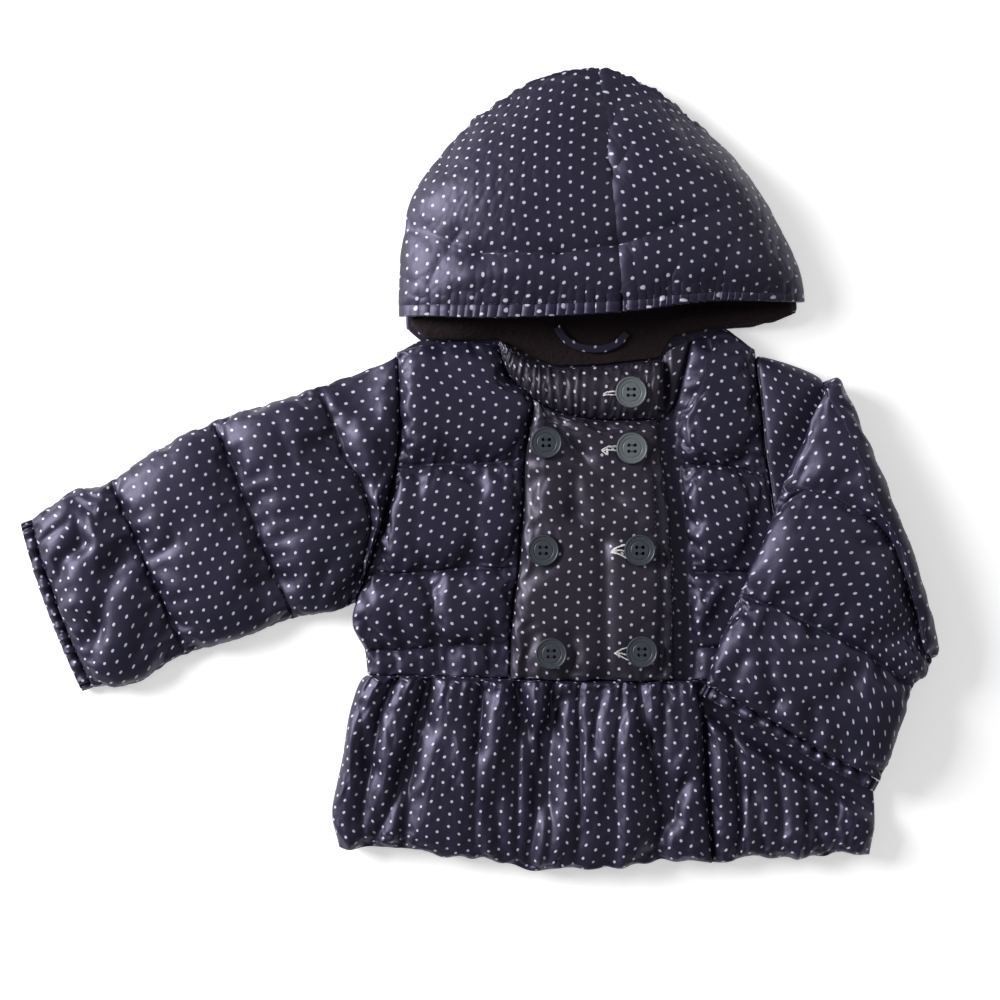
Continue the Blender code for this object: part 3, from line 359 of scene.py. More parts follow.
def close_under(piece, base):
    """Turns the sheet into a closed pad: its rim drops to the height base(x, y) and is filled there."""
    bm = bmesh.new()
    bm.from_mesh(piece.data)
    rim = [edge for edge in bm.edges if edge.is_boundary]
    made = bmesh.ops.extrude_edge_only(bm, edges=rim)["geom"]
    for item in made:
        if isinstance(item, bmesh.types.BMVert):
            item.co.z = float(base(item.co.x / MM, item.co.y / MM)) * MM
    unroll_walls(bm, [item for item in made if isinstance(item, bmesh.types.BMVert)])
    bottom = [e for e in made if isinstance(e, bmesh.types.BMEdge) and e.is_boundary]
    filled = bmesh.ops.contextual_create(bm, geom=bottom)["faces"]
    bmesh.ops.triangulate(bm, faces=filled)
    bmesh.ops.recalc_face_normals(bm, faces=bm.faces[:])
    bm.to_mesh(piece.data)
    bm.free()


def double(piece, lower):
    """Turns the sheet into a wall: lower(vert, i) moves a copy of each point to the wall's far side."""
    bm = bmesh.new()
    bm.from_mesh(piece.data)
    bm.normal_update()
    originals = bm.verts[:]
    bmesh.ops.extrude_face_region(bm, geom=bm.faces[:])
    for i, vert in enumerate(originals):
        lower(vert, i)
    unroll_walls(bm, originals)
    bmesh.ops.recalc_face_normals(bm, faces=bm.faces[:])
    bm.to_mesh(piece.data)
    bm.free()


def finish_cloth(piece, finish, *nodes, slot="shell", fill=0.6):
    """Rounds the cloth off, gives it its material and hides the solids that it stands for."""
    piece.data.materials.append(finish)
    piece.data.shade_smooth()
    rounding = piece.modifiers.new("rounding", "SUBSURF")
    rounding.levels = rounding.render_levels = 1
    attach(piece, "root")
    if nodes:
        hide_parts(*nodes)


def padded_panel(node, places, held, base, finish, lines=(), slot="shell", **air):
    """A puffed and closed panel, named for its solid. air holds the settings of puff_up."""
    piece = cut_cloth(f"{node}_cloth", places, held, lines=lines)
    puff_up(piece, **air)
    close_under(piece, base)
    finish_cloth(piece, finish, node, slot=slot)


def pad(name, plan, top, under, finish, *nodes, slot="shell"):
    """A closed pad over plan points, with its own top and underside heights."""
    shape = plan.shape[:2]
    piece = cut_cloth(name, np.dstack([plan, np.broadcast_to(top, shape)]), 1.0)
    low = np.broadcast_to(under, shape).ravel() * MM

    def drop(vert, i):
        vert.co.z = low[i]

    double(piece, drop)
    finish_cloth(piece, finish, *nodes, slot=slot, fill=0.4)


# %% [markdown]
# Colours are picked as sRGB hex values, the way a paint program shows them. Shaders work in linear
# light, so one function turns the one into the other. `add` puts one node in a material, sets its
# values and links its inputs.


# %% Colours and nodes
def linear(code):
    """An sRGB hex colour as linear RGBA."""
    parts = [int(code[i : i + 2], 16) / 255 for i in (1, 3, 5)]
    return (*[p / 12.92 if p <= 0.04045 else ((p + 0.055) / 1.055) ** 2.4 for p in parts], 1.0)


def add(tree, kind, settings=None, **inputs):
    """One node: settings are its own properties, inputs its sockets, each a value or an output."""
    node = tree.nodes.new(kind)
    for key, value in (settings or {}).items():
        setattr(node, key, value)
    for key, value in inputs.items():
        name = key.replace("_", " ")
        socket = node.inputs[int(key[1:])] if key[1:].isdigit() else node.inputs[name]
        if isinstance(value, bpy.types.NodeSocket):
            tree.links.new(value, socket)
        else:
            socket.default_value = value
    return node


def new_material(name, constants):
    """A material, its tree and its shader, with the constants set on the shader's own sockets."""
    material = bpy.data.materials.new(name)
    material.use_nodes = True
    shader = material.node_tree.nodes["Principled BSDF"]
    for socket, value in constants.items():
        shader.inputs[socket].default_value = value
    return material, material.node_tree, shader


# %% [markdown]
# The shell is a tight polyester taffeta, printed with small white dots. It is shiny but soft: light
# spreads over a fold and does not mirror. The dots stand in a triangular lattice 8.1 mm apart
# along the grain. Two lattices of oblong cells, one moved by half a cell, make that triangle: each
# gives the distance to its nearest dot, and the smaller distance says where the print is.

# %% Dotted polyester
DOT_PITCH = 8.1 * MM  # along the grain
DOT_COLUMN = 7.1 * MM  # from one column of dots to the next
DOT_RADIUS = 0.92 * MM
DOT_EDGE = 0.22 * MM  # over which the print fades out
WEAVE = 0.7 * MM  # the real threads are 0.2 mm apart, too fine for the picture


def dot_distance(tree, cut, shift):
    """Distance from the nearest dot of one lattice, in metres."""
    cell = (2 * DOT_COLUMN, DOT_PITCH)
    middle = (0.5, 0.5, 0.0)
    at = cut
    for operation, second in (
        ("ADD", {"i1": shift}),
        ("DIVIDE", {"i1": (*cell, 1.0)}),
        ("FRACTION", {}),  # the place inside a cell
        ("SUBTRACT", {"i1": middle}),
        ("MULTIPLY", {"i1": (*cell, 0.0)}),  # back to metres
        ("LENGTH", {}),
    ):
        step = add(tree, "ShaderNodeVectorMath", {"operation": operation}, i0=at, **second)
        at = step.outputs[0]
    return step.outputs["Value"]


def dotted_polyester(name, ground, shade, gloss):
    constants = {
        "Specular IOR Level": 0.7,
        "Specular Tint": linear(gloss),
        "Sheen Weight": 0.05,
        "Sheen Roughness": 0.4,
        "Sheen Tint": linear("#8d86b4"),
    }
    material, tree, shader = new_material(name, constants)
    cut = add(tree, "ShaderNodeUVMap", {"uv_map": "cut"}).outputs["UV"]
    here = add(tree, "ShaderNodeTexCoord").outputs["Object"]
    first = dot_distance(tree, cut, (0.5 * DOT_COLUMN, 0.0, 0.0))
    second = dot_distance(tree, cut, (1.5 * DOT_COLUMN, DOT_PITCH / 2, 0.0))
    nearest = add(tree, "ShaderNodeMath", {"operation": "MINIMUM"}, i0=first, i1=second).outputs[0]
    printed = add(
        tree,
        "ShaderNodeMapRange",
        {"interpolation_type": "SMOOTHSTEP"},
        Value=nearest,
        From_Min=DOT_RADIUS + DOT_EDGE,
        From_Max=DOT_RADIUS - DOT_EDGE,
    ).outputs["Result"]
    patches = add(tree, "ShaderNodeTexNoise", Vector=here, Scale=14.0, Detail=3.0, Roughness=0.55)
    dyed = add(
        tree,
        "ShaderNodeMix",
        {"data_type": "RGBA"},
        Factor=patches.outputs["Fac"],
        i6=linear(ground),
        i7=linear(shade),
    ).outputs[2]
    colour = add(
        tree, "ShaderNodeMix", {"data_type": "RGBA"}, Factor=printed, i6=dyed, i7=linear("#b9b9c9")
    ).outputs[2]
    tree.links.new(colour, shader.inputs["Base Color"])
    shine = add(
        tree, "ShaderNodeMapRange", Value=patches.outputs["Fac"], To_Min=0.4, To_Max=0.52
    ).outputs["Result"]
    tree.links.new(shine, shader.inputs["Roughness"])
    threads = add(tree, "ShaderNodeTexNoise", Vector=cut, Scale=1 / WEAVE, Detail=2.0)
    ripples = add(tree, "ShaderNodeTexNoise", Vector=here, Scale=160.0, Detail=3.0)
    fine = add(
        tree, "ShaderNodeBump", Strength=0.25, Distance=0.05 * MM, Height=threads.outputs["Fac"]
    )
    soft = add(
        tree,
        "ShaderNodeBump",
        Strength=0.35,
        Distance=0.6 * MM,
        Height=ripples.outputs["Fac"],
        Normal=fine.outputs["Normal"],
    )
    tree.links.new(soft.outputs["Normal"], shader.inputs["Normal"])
    return material


shell = dotted_polyester("dotted_polyester", "#141322", "#1e1c2e", "#cdc7ea")
# A greyer, browner copy of the shell's colours, used for the button panel and the collar.
grey_shell = dotted_polyester("dotted_polyester_greyer", "#17141e", "#221e2a", "#d8d0e6")

# %% [markdown]
# Fleece scatters light from thousands of fibre ends. A rough surface with strong sheen gives the
# soft rim, and noise at the size of a tuft gives the pile.

# %% Fleece
TUFT = 1.6 * MM
FIBRES = {
    "Roughness": 1.0,
    "Specular IOR Level": 0.1,
    "Sheen Weight": 0.35,
    "Sheen Roughness": 0.6,
    "Sheen Tint": linear("#6a5a5c"),
}
fleece, tree, shader = new_material("brushed_fleece", FIBRES)
here = add(tree, "ShaderNodeTexCoord").outputs["Object"]
tufts = add(tree, "ShaderNodeTexNoise", Vector=here, Scale=1 / TUFT, Detail=5.0, Roughness=0.7)
dark = add(
    tree,
    "ShaderNodeMix",
    {"data_type": "RGBA"},
    Factor=tufts.outputs["Fac"],
    i6=linear("#141013"),
    i7=linear("#2e2527"),
)
tree.links.new(dark.outputs[2], shader.inputs["Base Color"])
pile = add(tree, "ShaderNodeBump", Strength=0.9, Distance=1.2 * MM, Height=tufts.outputs["Fac"])
tree.links.new(pile.outputs["Normal"], shader.inputs["Normal"])

# %% [markdown]
# The heights of the flat-lying coat: what lies on the surface is pressed to 6 mm, the left front's
# edge is a 3 mm underlap, and everything else lies on those. These are the same values as in the
# solids, so each panel sits in its solid's space.

# %% Heights and shared seams, mm
SEAM = 0.3
PRESSED = 6.0
UNDERLAP = 3.0
VALLEY = 3.6
LOFT = 9.5
SKIRT_LOFT = 11.0
SLEEVE_LOFT = 12.0
HOOD_RISE = 31.0
UNDER_SLEEVE = 13.4
UNDER_CUFF = 10.4  # the skirt sinks a little further, which leaves a dark valley below the cuff
FRONT_BASE = PRESSED + SEAM
LAP_BASE = FRONT_BASE + UNDERLAP + SEAM
GRID = 2.6  # spacing of the cloth's points

# How much air and spare cloth a panel gets. Its ceiling, in mm, keeps it in its solid's space.
QUILTED = {"ceiling": 18.5, "spare": 0.08, "pressure": 30}
UNQUILTED = {"spare": 0.05, "pressure": 20}
GATHERED = {"spare": 0.03, "pressure": 2, "most": 2}
QUILTED_SLEEVE = {"spare": 0.09, "pressure": 30}

# Tables of (x, y), and of (y, x) for the three that run down the coat.
WAIST = (
    *((-72, -131.5), (-40, -131.3), (-10, -132.2), (20, -133.6)),
    *((60, -134.6), (100, -135.0), (230, -134.0)),
)
CUFF_LINE = ((140, -149), (256, -217))
LAP_EDGE = ((-250, 92), (-134, 87), (-58, 84), (-3, 86), (20, 92))
PANEL_EDGE = (
    *((-135, 126.6), (-98, 126.2), (-60, 125.2), (-22, 122.7)),
    *((18, 118.2), (32, 117.8), (72, 118)),
)
SLEEVE_EDGE_LINE = (
    *((-145, 136), (-110, 150), (-79, 166), (-50, 180)),
    *((-12, 193), (17, 205), (51, 216), (62, 233)),
)


def lap_base(x, y):
    """Underside of what lies over the left front's edge: it steps up onto that edge."""
    return FRONT_BASE + (LAP_BASE - FRONT_BASE) * smooth((x - on_table(LAP_EDGE, y) + 22) / 10)


def front_base(x, y):
    return FRONT_BASE


def under_sleeve(x, y):
    """1 where the folded sleeve lies, falling to 0 a little way outside it."""
    beside = x - on_table(SLEEVE_EDGE_LINE, y)
    below = y - on_table(CUFF_LINE, x)
    return smooth((np.minimum(beside + 4, below) + 12) / 10)


def pressed_by_sleeve(z, x, y, height=UNDER_SLEEVE):
    return z + (np.minimum(z, height) - z) * under_sleeve(x, y)


def under_buttons(x, y, numbers):
    """How near each point is to a button, 1 to 0, and the height that the button presses it to."""
    near, seat = np.zeros_like(x), np.zeros_like(x)
    for number in numbers:
        low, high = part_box(f"button_{number}")
        centre = (low + high) / 2 / MM
        close = smooth((14 - np.hypot(x - centre.x, y - centre.y)) / 5)
        seat = np.where(close > near, low.z / MM - 0.4, seat)
        near = np.maximum(near, close)
    return near, seat


# %% [markdown]
# ** The right front's side part.** Three wide channels and a narrow casing at the waist. Two stitched
# lines hold the middle ones. The folds below the armhole and above the waist are placed where the
# photo shows them. The rest is left to the simulation.

# %% Right front, side part
RIGHT_SIDE_ROWS = (
    ((-52, 76), (-30, 81), (-8, 82), (12.5, 80)),  # shoulder
    ((-51, 58), (-27, 61), (-3, 61), (20, 60)),
    ((-50.5, 42), (-22, 44), (7, 45), (34, 46)),
    ((-50.5, 24), (-22, 26), (5, 27), (33, 26)),
    ((-53, 2), (-27, 3.5), (2, 4), (30, 7)),  # first quilting line
    ((-61, -32), (-33, -31), (-2, -30), (28.5, -29)),
    ((-71, -65), (-40, -66), (-8, -63), (26, -63)),  # second quilting line
    ((-80, -97), (-50, -92), (-14, -90), (22.5, -89)),
    ((-72, -116), (-42, -115), (-11, -112.5), (20.5, -113)),  # casing
    ((-70, -131.5), (-40, -131), (-10, -132), (20, -133.5)),  # waist
)
QUILTING = ((0, 4, LOFT), (4, 6, LOFT), (6, 8, LOFT), (8, 9, 0.5 * LOFT))
RIGHT_SIDE_FOLDS = (
    (-30, -77, -23, -126, 5, 6.0),
    (-52, -90, -46, -112, 4, 3.5),
    (8, -88, 12, -124, 5, 3.5),
    (-20, 60, 12, 30, 8, 2.5),
    (-37, -10, -40, -48, 7, 2.5),
    (2, -12, -4, -52, 7, 2.5),
)


def to_waist(plan, v, waist_row):
    """Lays a panel's last row along the waist seam."""
    near = smooth(v - waist_row + 1)[:, None]
    plan[..., 1] += near * (on_table(WAIST, plan[..., 0]) + SEAM / 2 - plan[..., 1])
    return plan


def right_side_plan(u, v):
    return to_waist(net(RIGHT_SIDE_ROWS, u, v), v, 9)


u, v = spread(38), channel_stations(RIGHT_SIDE_ROWS, QUILTING, GRID)
plan = right_side_plan(u, v)
x, y = plan[..., 0], plan[..., 1]
rise = 0.75 * puff(QUILTING, v)[:, None] * side(u)
z = FRONT_BASE + VALLEY + rise - np.minimum(creases(RIGHT_SIDE_FOLDS, x, y), rise)
z += puckers(QUILTING, u, v, 9, 1.0)
lines = on_line(QUILTING, v)
held = np.maximum(border(z.shape), lines[:, None])
places = np.dstack([x, y, z])
padded_panel("front_right_side", places, held, front_base, shell, lines, **QUILTED)

# %% [markdown]
# **The button panel.** The right front's lap isn't quilted: it is two layers of cloth with thin
# padding, held only by its seams and by the buttons. Each button presses a dimple.

# %% Right front, button panel
PANEL_ROWS = (
    ((35, 45.5), (51, 37), (71, 32.5), (92, 31.5), (115, 32)),  # neck seam
    ((33, 20), (53, 18), (75, 17), (96, 17), (117, 18)),
    ((29, -20), (52, -20), (76, -21), (99, -21), (122, -22)),
    ((27, -60), (52, -60), (76, -60), (100, -60), (124.5, -60)),
    ((22, -98), (48, -98), (74, -98), (100, -98), (125.5, -98)),
    ((20, -133.5), (46, -134.5), (73, -135), (100, -135), (126, -135)),  # waist
)
PANEL_FOLDS = (
    (47, 30, 65, 11, 6, 3.0),
    (65, 11, 86, -19, 6, 3.0),
    (61, -6, 62, -29, 6, 3.0),
    (62, -29, 80, -46, 6, 3.5),
    (80, -46, 82, -132, 6, 3.0),
    (84, -11, 102, -31, 5, 2.0),
    (112, 10, 117, -60, 3, 2.6),
    (117, -60, 117, -130, 3, 2.6),
    (34, -100, 31, -132, 6, 2.5),
    (60, -108, 58, -134, 5, 3.0),
)


def panel_plan(u, v):
    """The panel's left edge is sewn to the side part's, one seam gap away."""
    plan = net(PANEL_ROWS, u, v)
    sewn = right_side_plan(np.array([1.0]), 2 + v * 7 / 5) + (SEAM, 0)
    plan += (1 - u)[None, :, None] ** 2 * (sewn - plan[:, :1])
    return to_waist(plan, v, 5)


u, v = spread(40), spread(66, 0, 5)
plan = panel_plan(u, v)
x, y = plan[..., 0], plan[..., 1]
rise = 7.5 * side(u) * side(v[:, None] / 5, 9)
z = LAP_BASE + VALLEY + rise - np.minimum(1.5 * creases(PANEL_FOLDS, x, y), rise)
waist_gathers = gathers(u, 5 - v[:, None], 17, 1.1, 0.7) + gathers(u, v[:, None], 13, 0.8, 0.35)
z += waist_gathers * side(u)
near, seat = under_buttons(x, y, range(2, 8))
z += near * (seat - z)
held = np.maximum(border(z.shape), near > 0.6)
places = np.dstack([x, y, z])
air = {**UNQUILTED, "ceiling": 21.5, "most": 3}
padded_panel("front_right_panel", places, held, lap_base, grey_shell, slot="panel_shell", **air)

# %% [markdown]
# **The left front.** Its edge is a thin underlap below the button panel, and the folded sleeve
# presses its far side down. Between them it puffs up.

# %% Left front
LEFT_ROWS = (
    ((137, 84), (147, 86), (158, 89.5), (168, 84), (177, 76)),  # shoulder
    ((131, 60), (142, 60), (154, 60), (167, 58.5), (179, 57)),
    ((123, 38), (130, 38), (145, 38), (163, 38), (181, 38)),
    ((94, 16), (119, 17), (139, 16), (161, 16), (183, 16)),
    ((86, 0), (121.4, 2), (141, 3), (165, 1), (186.5, -5)),  # first quilting line
    ((84.5, -32), (124, -32), (146, -32), (170, -34), (192, -38)),
    ((84, -66), (125.6, -66), (152, -65.5), (180, -66), (210, -68)),  # second quilting line
    ((85, -92), (126.6, -92), (157, -92), (190, -92), (230, -94)),
    ((86, -114), (127, -114), (160, -114), (196, -114), (233, -115)),  # casing
    ((87, -134), (127.3, -135), (160, -134.5), (194, -134), (228, -134)),  # waist
)
LEFT_FOLDS = (
    (123, -5, 138, -58, 6, 4.5),
    (132, -78, 140, -130, 5, 4.0),
    (140, 60, 128, 22, 6, 3.0),
    (165, 40, 170, 8, 6, 3.0),
)


def left_plan(u, v):
    return to_waist(net(LEFT_ROWS, u, v), v, 9)


u = np.concatenate([[0, 0.08, 0.16], spread(42, 0.25, 1.0)])
v = channel_stations(LEFT_ROWS, QUILTING, GRID)
plan = left_plan(u, v)
x, y = plan[..., 0], plan[..., 1]
clear = smooth((x - on_table(PANEL_EDGE, y) - 7) / 11) ** 0.6
rise = (1.0 + 0.85 * puff(QUILTING, v)[:, None] * side(0.5 + 0.5 * u)) * clear
rise -= np.minimum(creases(LEFT_FOLDS, x, y), rise)
z = pressed_by_sleeve(FRONT_BASE + UNDERLAP + rise + puckers(QUILTING, u, v, 14, 0.9) * clear, x, y)
lines = on_line(QUILTING, v)
held = np.maximum(border(z.shape), lines[:, None])
held = np.maximum(held, (clear < 0.5) | (under_sleeve(x, y) > 0.4))
places = np.dstack([x, y, z])
padded_panel("front_left", places, held, front_base, shell, lines, **QUILTED)

# %% [markdown]
# **The skirt.** It is gathered into the waist seam and caught again at the hem, which rolls under.
# Thirty-odd gathers start at the seam and die away. The deep folds are placed one by one.

# %% Skirt
SKIRT_RIGHT_ROWS = (
    ((-70, -132), (-28, -132.5), (14, -133.8), (57, -134.8), (99, -135.3), (141, -135.5)),  # waist
    ((-81, -150), (-35, -152), (11, -153), (55, -154), (100, -154), (143, -154)),
    ((-87, -184), (-40, -188), (8, -190), (55, -190), (100, -190), (145.5, -189)),
    ((-93.5, -218), (-44, -224), (6, -228), (56, -228), (103, -226), (148, -222)),
    ((-89, -241), (-45, -243), (3, -250), (52, -256.3), (104, -252), (150, -250)),  # hem
)
SKIRT_LEFT_ROWS = (
    ((88, -135), (141.5, -135.2), (170, -134.8), (199, -134.5), (228, -134.2)),  # waist
    ((89, -154), (143.5, -154), (176, -153), (208, -153), (240, -152)),
    ((90, -189), (146, -189), (181, -188), (216, -188), (251, -188)),
    ((91, -222), (148.5, -222), (184, -224), (219, -224), (254.5, -222)),
    ((92, -247), (150.6, -250), (181, -249), (215, -247.5), (251, -246)),  # hem
)
SKIRT_FOLDS = (
    (-31, -137, -36, -161, 5, 7.0),
    (-36, -161, -47, -194, 6, 8.0),
    (-47, -194, -66, -236, 6, 7.0),
    (24, -140, 31, -164, 5, 5.5),
    (31, -164, 37, -196, 6, 5.0),
    (54, -146, 44, -170, 5, 8.0),
    (44, -170, 40, -210, 6, 9.0),
    (40, -210, 33, -250, 6, 8.0),
    (104, -138, 108, -174, 5, 6.5),
    (108, -174, 119, -207, 5, 6.0),
    (119, -207, 126, -222, 5, 5.0),
    (134, -198, 112, -244, 5, 6.0),
    (98, -162, 95, -246, 8, -3.0),
    (-41, -209, -51, -244, 4, 4.5),
    (176, -206, 183, -238, 6, 5.5),
    (214, -222, 222, -244, 6, 5.0),
    (-74, -150, -70, -190, 6, 4.0),
    (4, -140, 0, -175, 5, 4.5),
    (78, -140, 74, -178, 5, 4.5),
    (12, -210, 16, -246, 6, 4.5),
)


def from_waist(plan, v):
    """Lays a skirt panel's first row along the waist seam."""
    near = (1 - smooth(v))[:, None]
    plan[..., 1] += near * (on_table(WAIST, plan[..., 0]) - SEAM / 2 - plan[..., 1])
    return plan


def skirt_rise(u, down, count):
    """The skirt swells below the waist seam and rolls under at the hem. The drawn-in cloth stands in
    round ridges with sharp valleys between them, which lean a little and fade towards the hem."""
    swell = SKIRT_LOFT * (1 - abs(down / 2 - 1) ** 5) ** 0.55 * side(u, 14)
    lean = u + 0.008 * np.sin(9 * u + 1) * down + 0.020 * np.sin(11 * u) + 0.008 * np.sin(29 * u + 2)
    arch = abs(np.sin(pi * count * lean)) ** 0.7
    size = 0.7 + 0.3 * np.sin(1.7 * count * u)
    return swell - 9.5 * size * (1 - arch) * smooth(2.5 * down) * (0.55 + 0.45 * smooth((4 - down) / 2))


def uneven_hem(plan, v):
    """The hem isn't a clean line: each ridge ends in its own small bulge."""
    x = plan[..., 0]
    bulges = 0.9 * np.sin(0.27 * x + 2 * np.sin(0.06 * x)) + 1.2 * np.sin(0.11 * x + 1)
    plan[..., 1] += smooth(v - 3)[:, None] * bulges
    return plan


u, v = spread(150, closeness=0.1), spread(44, 0, 4, 0.6)
down = v[:, None]
plan = uneven_hem(from_waist(net(SKIRT_RIGHT_ROWS, u, v), v), v)
x, y = plan[..., 0], plan[..., 1]
rise = np.maximum(skirt_rise(u, down, 9) - 1.25 * creases(SKIRT_FOLDS, x, y), -1.5)
rise += gathers(u, down, 36, 1.3, 0.7) + gathers(u, 4 - down, 19, 1.2, 0.6)
places = np.dstack([x, y, LAP_BASE + VALLEY + rise])
padded_panel("peplum_right", places, border(x.shape), lap_base, shell, ceiling=25.5, **GATHERED)

u = np.concatenate([[0, 0.1, 0.2], spread(76, 0.25, 1.0, 0.1)])
plan = uneven_hem(from_waist(net(SKIRT_LEFT_ROWS, u, v), v), v)
x, y = plan[..., 0], plan[..., 1]
free_u = np.clip((u - 0.25) / 0.75, 0, 1)
rise = np.maximum(1.5 + skirt_rise(free_u, down, 5) - creases(SKIRT_FOLDS, x, y), 0.0)
rise += gathers(free_u, down, 20, 1.1, 0.7) + gathers(free_u, 4 - down, 11, 1.2, 0.6)
z = pressed_by_sleeve(FRONT_BASE + UNDERLAP + np.where(u > 0.25, rise, 0.0), x, y, UNDER_CUFF)
held = np.maximum(border(z.shape), (u <= 0.26) | (under_sleeve(x, y) > 0.4))
places = np.dstack([x, y, z])
padded_panel("peplum_left", places, held, front_base, shell, ceiling=21.0, **GATHERED)

# %% [markdown]
# **The back and the back of the skirt.** They lie flat under the fronts. What shows of them is
# their rounded edges, and the quilting on their undersides when the coat is turned over.

# %% Back
BACK_TOP = ((-52, 75.2), (-37, 83.9), (13, 82.3), (84, 82.3), (136, 85.3), (159, 91.8), (177, 77.7))

u, v = spread(60), channel_stations(RIGHT_SIDE_ROWS, QUILTING, 4)
right, left = right_side_plan(np.array([0.0]), v)[:, 0], left_plan(np.array([1.0]), v)[:, 0]
plan = right[:, None] - (0.8, 0) + (left - right + (1.6, 0))[:, None] * u[None, :, None]
x = plan[..., 0]
plan[..., 1] += (1 - smooth(v))[:, None] * (on_table(BACK_TOP, x) - plan[..., 1])
plan[..., 1] += smooth(v - 8)[:, None] * (on_table(WAIST, x) + SEAM / 2 - plan[..., 1])
quilted = puff(QUILTING, v)[:, None] / LOFT * side(u)
pad("back_cloth", plan, PRESSED - 0.6 * (1 - quilted), 1.4 * (1 - quilted), shell, "back")

u, v = spread(90), spread(24, 0, 4)
right = net(SKIRT_RIGHT_ROWS, np.minimum(u / 0.65, 1), v)
left = net(SKIRT_LEFT_ROWS, 0.25 + 0.75 * np.maximum(u - 0.65, 0) / 0.35, v)
plan = np.where(u[None, :, None] <= 0.65, right, left)
plan[..., 0] += 2.0 * (1 - 2 * u)
plan[..., 1] += 2.0 * smooth(v - 3)[:, None]
plan = from_waist(plan, v)
swell = side(v / 4, 6)[:, None] * side(u, 20)
wave = 0.7 * (1 + np.cos(2 * pi * 28 * u)) * bell(v[:, None], 0, 1.2)
under = 1.2 * (1 - swell) + wave
pad("peplum_back_cloth", plan, PRESSED - 0.8 * (1 - swell), under, shell, "peplum_back")

# %% [markdown]
# **The collar.** A standing band, pressed flat. Small gathers run across it from the neck seam.
# The left half lies mostly under the right one and shows in the gap beside the left front.

# %% Collar
COLLAR_TOP = ((14, 83), (24, 77), (36, 70), (51, 65.5), (78, 66.5), (100, 69), (117, 70.5))
COLLAR_LEFT_FREE = ((120.5, 76), (116, 66), (109, 53), (101, 42))

on_side = right_side_plan(np.array([1.0]), np.linspace(0, 1.88, 24))[:, 0]
on_panel = panel_plan(spread(30), np.array([0.0]))[0]
neck_seam = moved_left(np.concatenate([on_side, on_panel]), SEAM + 0.2)

u, v = spread(110, closeness=0.1), spread(14)
down = v[:, None]
low, high = along(neck_seam, u), curve(COLLAR_TOP, u * (len(COLLAR_TOP) - 1))
plan = low[None] + (high - low)[None] * v[:, None, None]
x, y = plan[..., 0], plan[..., 1]
z = LAP_BASE + 4.0 + 6.5 * (1 - abs(2 * down - 1) ** 2.5) * smooth(u * 6 + 0.2)
z += gathers(u, down, 24, 1.0, 1.6)
near, seat = under_buttons(x, y, (1,))
z += near * (seat - z)
held = np.maximum(border(z.shape), near > 0.6)
places = np.dstack([x, y, z])
air = {**UNQUILTED, "ceiling": 21.0, "most": 2}
padded_panel("collar_right", places, held, lap_base, grey_shell, slot="panel_shell", **air)

u, v = spread(14), spread(20, 0, 2.05)
near_edge = left_plan(np.array([0.0]), v)[:, 0] - (SEAM + 0.1, 0)
far_edge = curve(COLLAR_LEFT_FREE, v / 2 * (len(COLLAR_LEFT_FREE) - 1))
plan = far_edge[:, None] + (near_edge - far_edge)[:, None] * u[None, :, None]
rise = 4.0 * smooth((plan[..., 0] - 119) / 5) * smooth(3 * (1 - u) + 0.4)
top = FRONT_BASE + UNDERLAP + rise
pad("collar_left_cloth", plan, top, FRONT_BASE, grey_shell, "collar_left", slot="panel_shell")

# %% [markdown]
# **The hanger loop** is a folded strip of the shell cloth, caught in the neck seam at both ends.

# %% Hanger loop
LOOP_PATH = ((50.5, 92), (56, 84), (65, 79), (78, 77.5), (89, 81), (95.5, 88))

middle = curve(LOOP_PATH, spread(40, closeness=0.0) * (len(LOOP_PATH) - 1))
plan = np.stack([moved_left(middle, off) for off in np.linspace(-2.6, 2.6, 5)])
pad("hanger_loop_cloth", plan, 11.6, 10.3, shell, "hanger_loop")

# %% [markdown]
# **The hood.** Two halves meet in a centre seam. It stands up as a dome, because the hood is
# padded and full of air, and it is open at the brim. Each half is a wall: an outer sheet, an inner
# one, and the brim that joins them. An elastic in the brim draws it into small gathers.

# %% Hood
HOOD_ROWS = (
    ((-46, 91), (13, 81.3), (84, 81.3), (136, 84), (204, 101)),  # neck
    ((-46.5, 98), (14, 95.5), (91, 99), (146, 106), (205, 107)),  # brim
    ((-46.5, 128), (20, 130), (89.5, 128.7), (148, 130), (200.5, 130)),
    ((-41.5, 166), (22, 168), (86, 166), (144, 168), (183, 165)),
    ((-26, 193), (28, 206), (82.5, 206), (130, 200), (162, 195)),
    ((0, 222), (40, 249.5), (77.5, 256.5), (106, 246), (134, 223)),  # crown
)
HOOD_NECK = (
    *((-46, 91.0), (-37, 83.2), (13, 81.4), (84, 81.4)),
    *((136, 84.4), (159, 90.9), (177, 92.0), (204, 101.0)),
)
HOOD_FOLDS = (
    (3, 136, 51, 135, 8, 3.2),
    (51, 135, 87, 141, 7, 3.0),
    (91, 141, 124, 153, 7, 2.6),
    (124, 153, 150, 163, 7, 2.2),
    (-45, 157, 3, 136, 10, 3.0),
    (-4, 122, 69, 128, 5, -1.5),
    (79, 196, 87, 184, 4, 1.6),
    (96, 200, 88, 188, 4, 1.2),
    (-28, 118, -10, 150, 8, 2.0),
    (150, 122, 160, 146, 8, 2.0),
    (118, 112, 124, 128, 5, 1.8),
)
HOOD_THICKNESS = 5.5
CASING = 1.3  # station of the stitched line that holds the brim's elastic
CENTRE = 0.5  # where u crosses the centre seam
CENTRE_WIDTH = 0.012  # of the valley along that seam, as a share of the hood's width


def hood_dome(u, v):
    """Height of the filled hood over its under wall, from the brim, row 1, to the crown, row 5."""
    across = (1 - abs(2 * u - 1) ** 2.6) ** 0.62
    back = (1 - smooth((v - 2.6) / 2.4) ** 1.6) ** 0.6
    mouth = 0.86 + 0.14 * smooth(v - 1)
    return HOOD_RISE * across * back * mouth


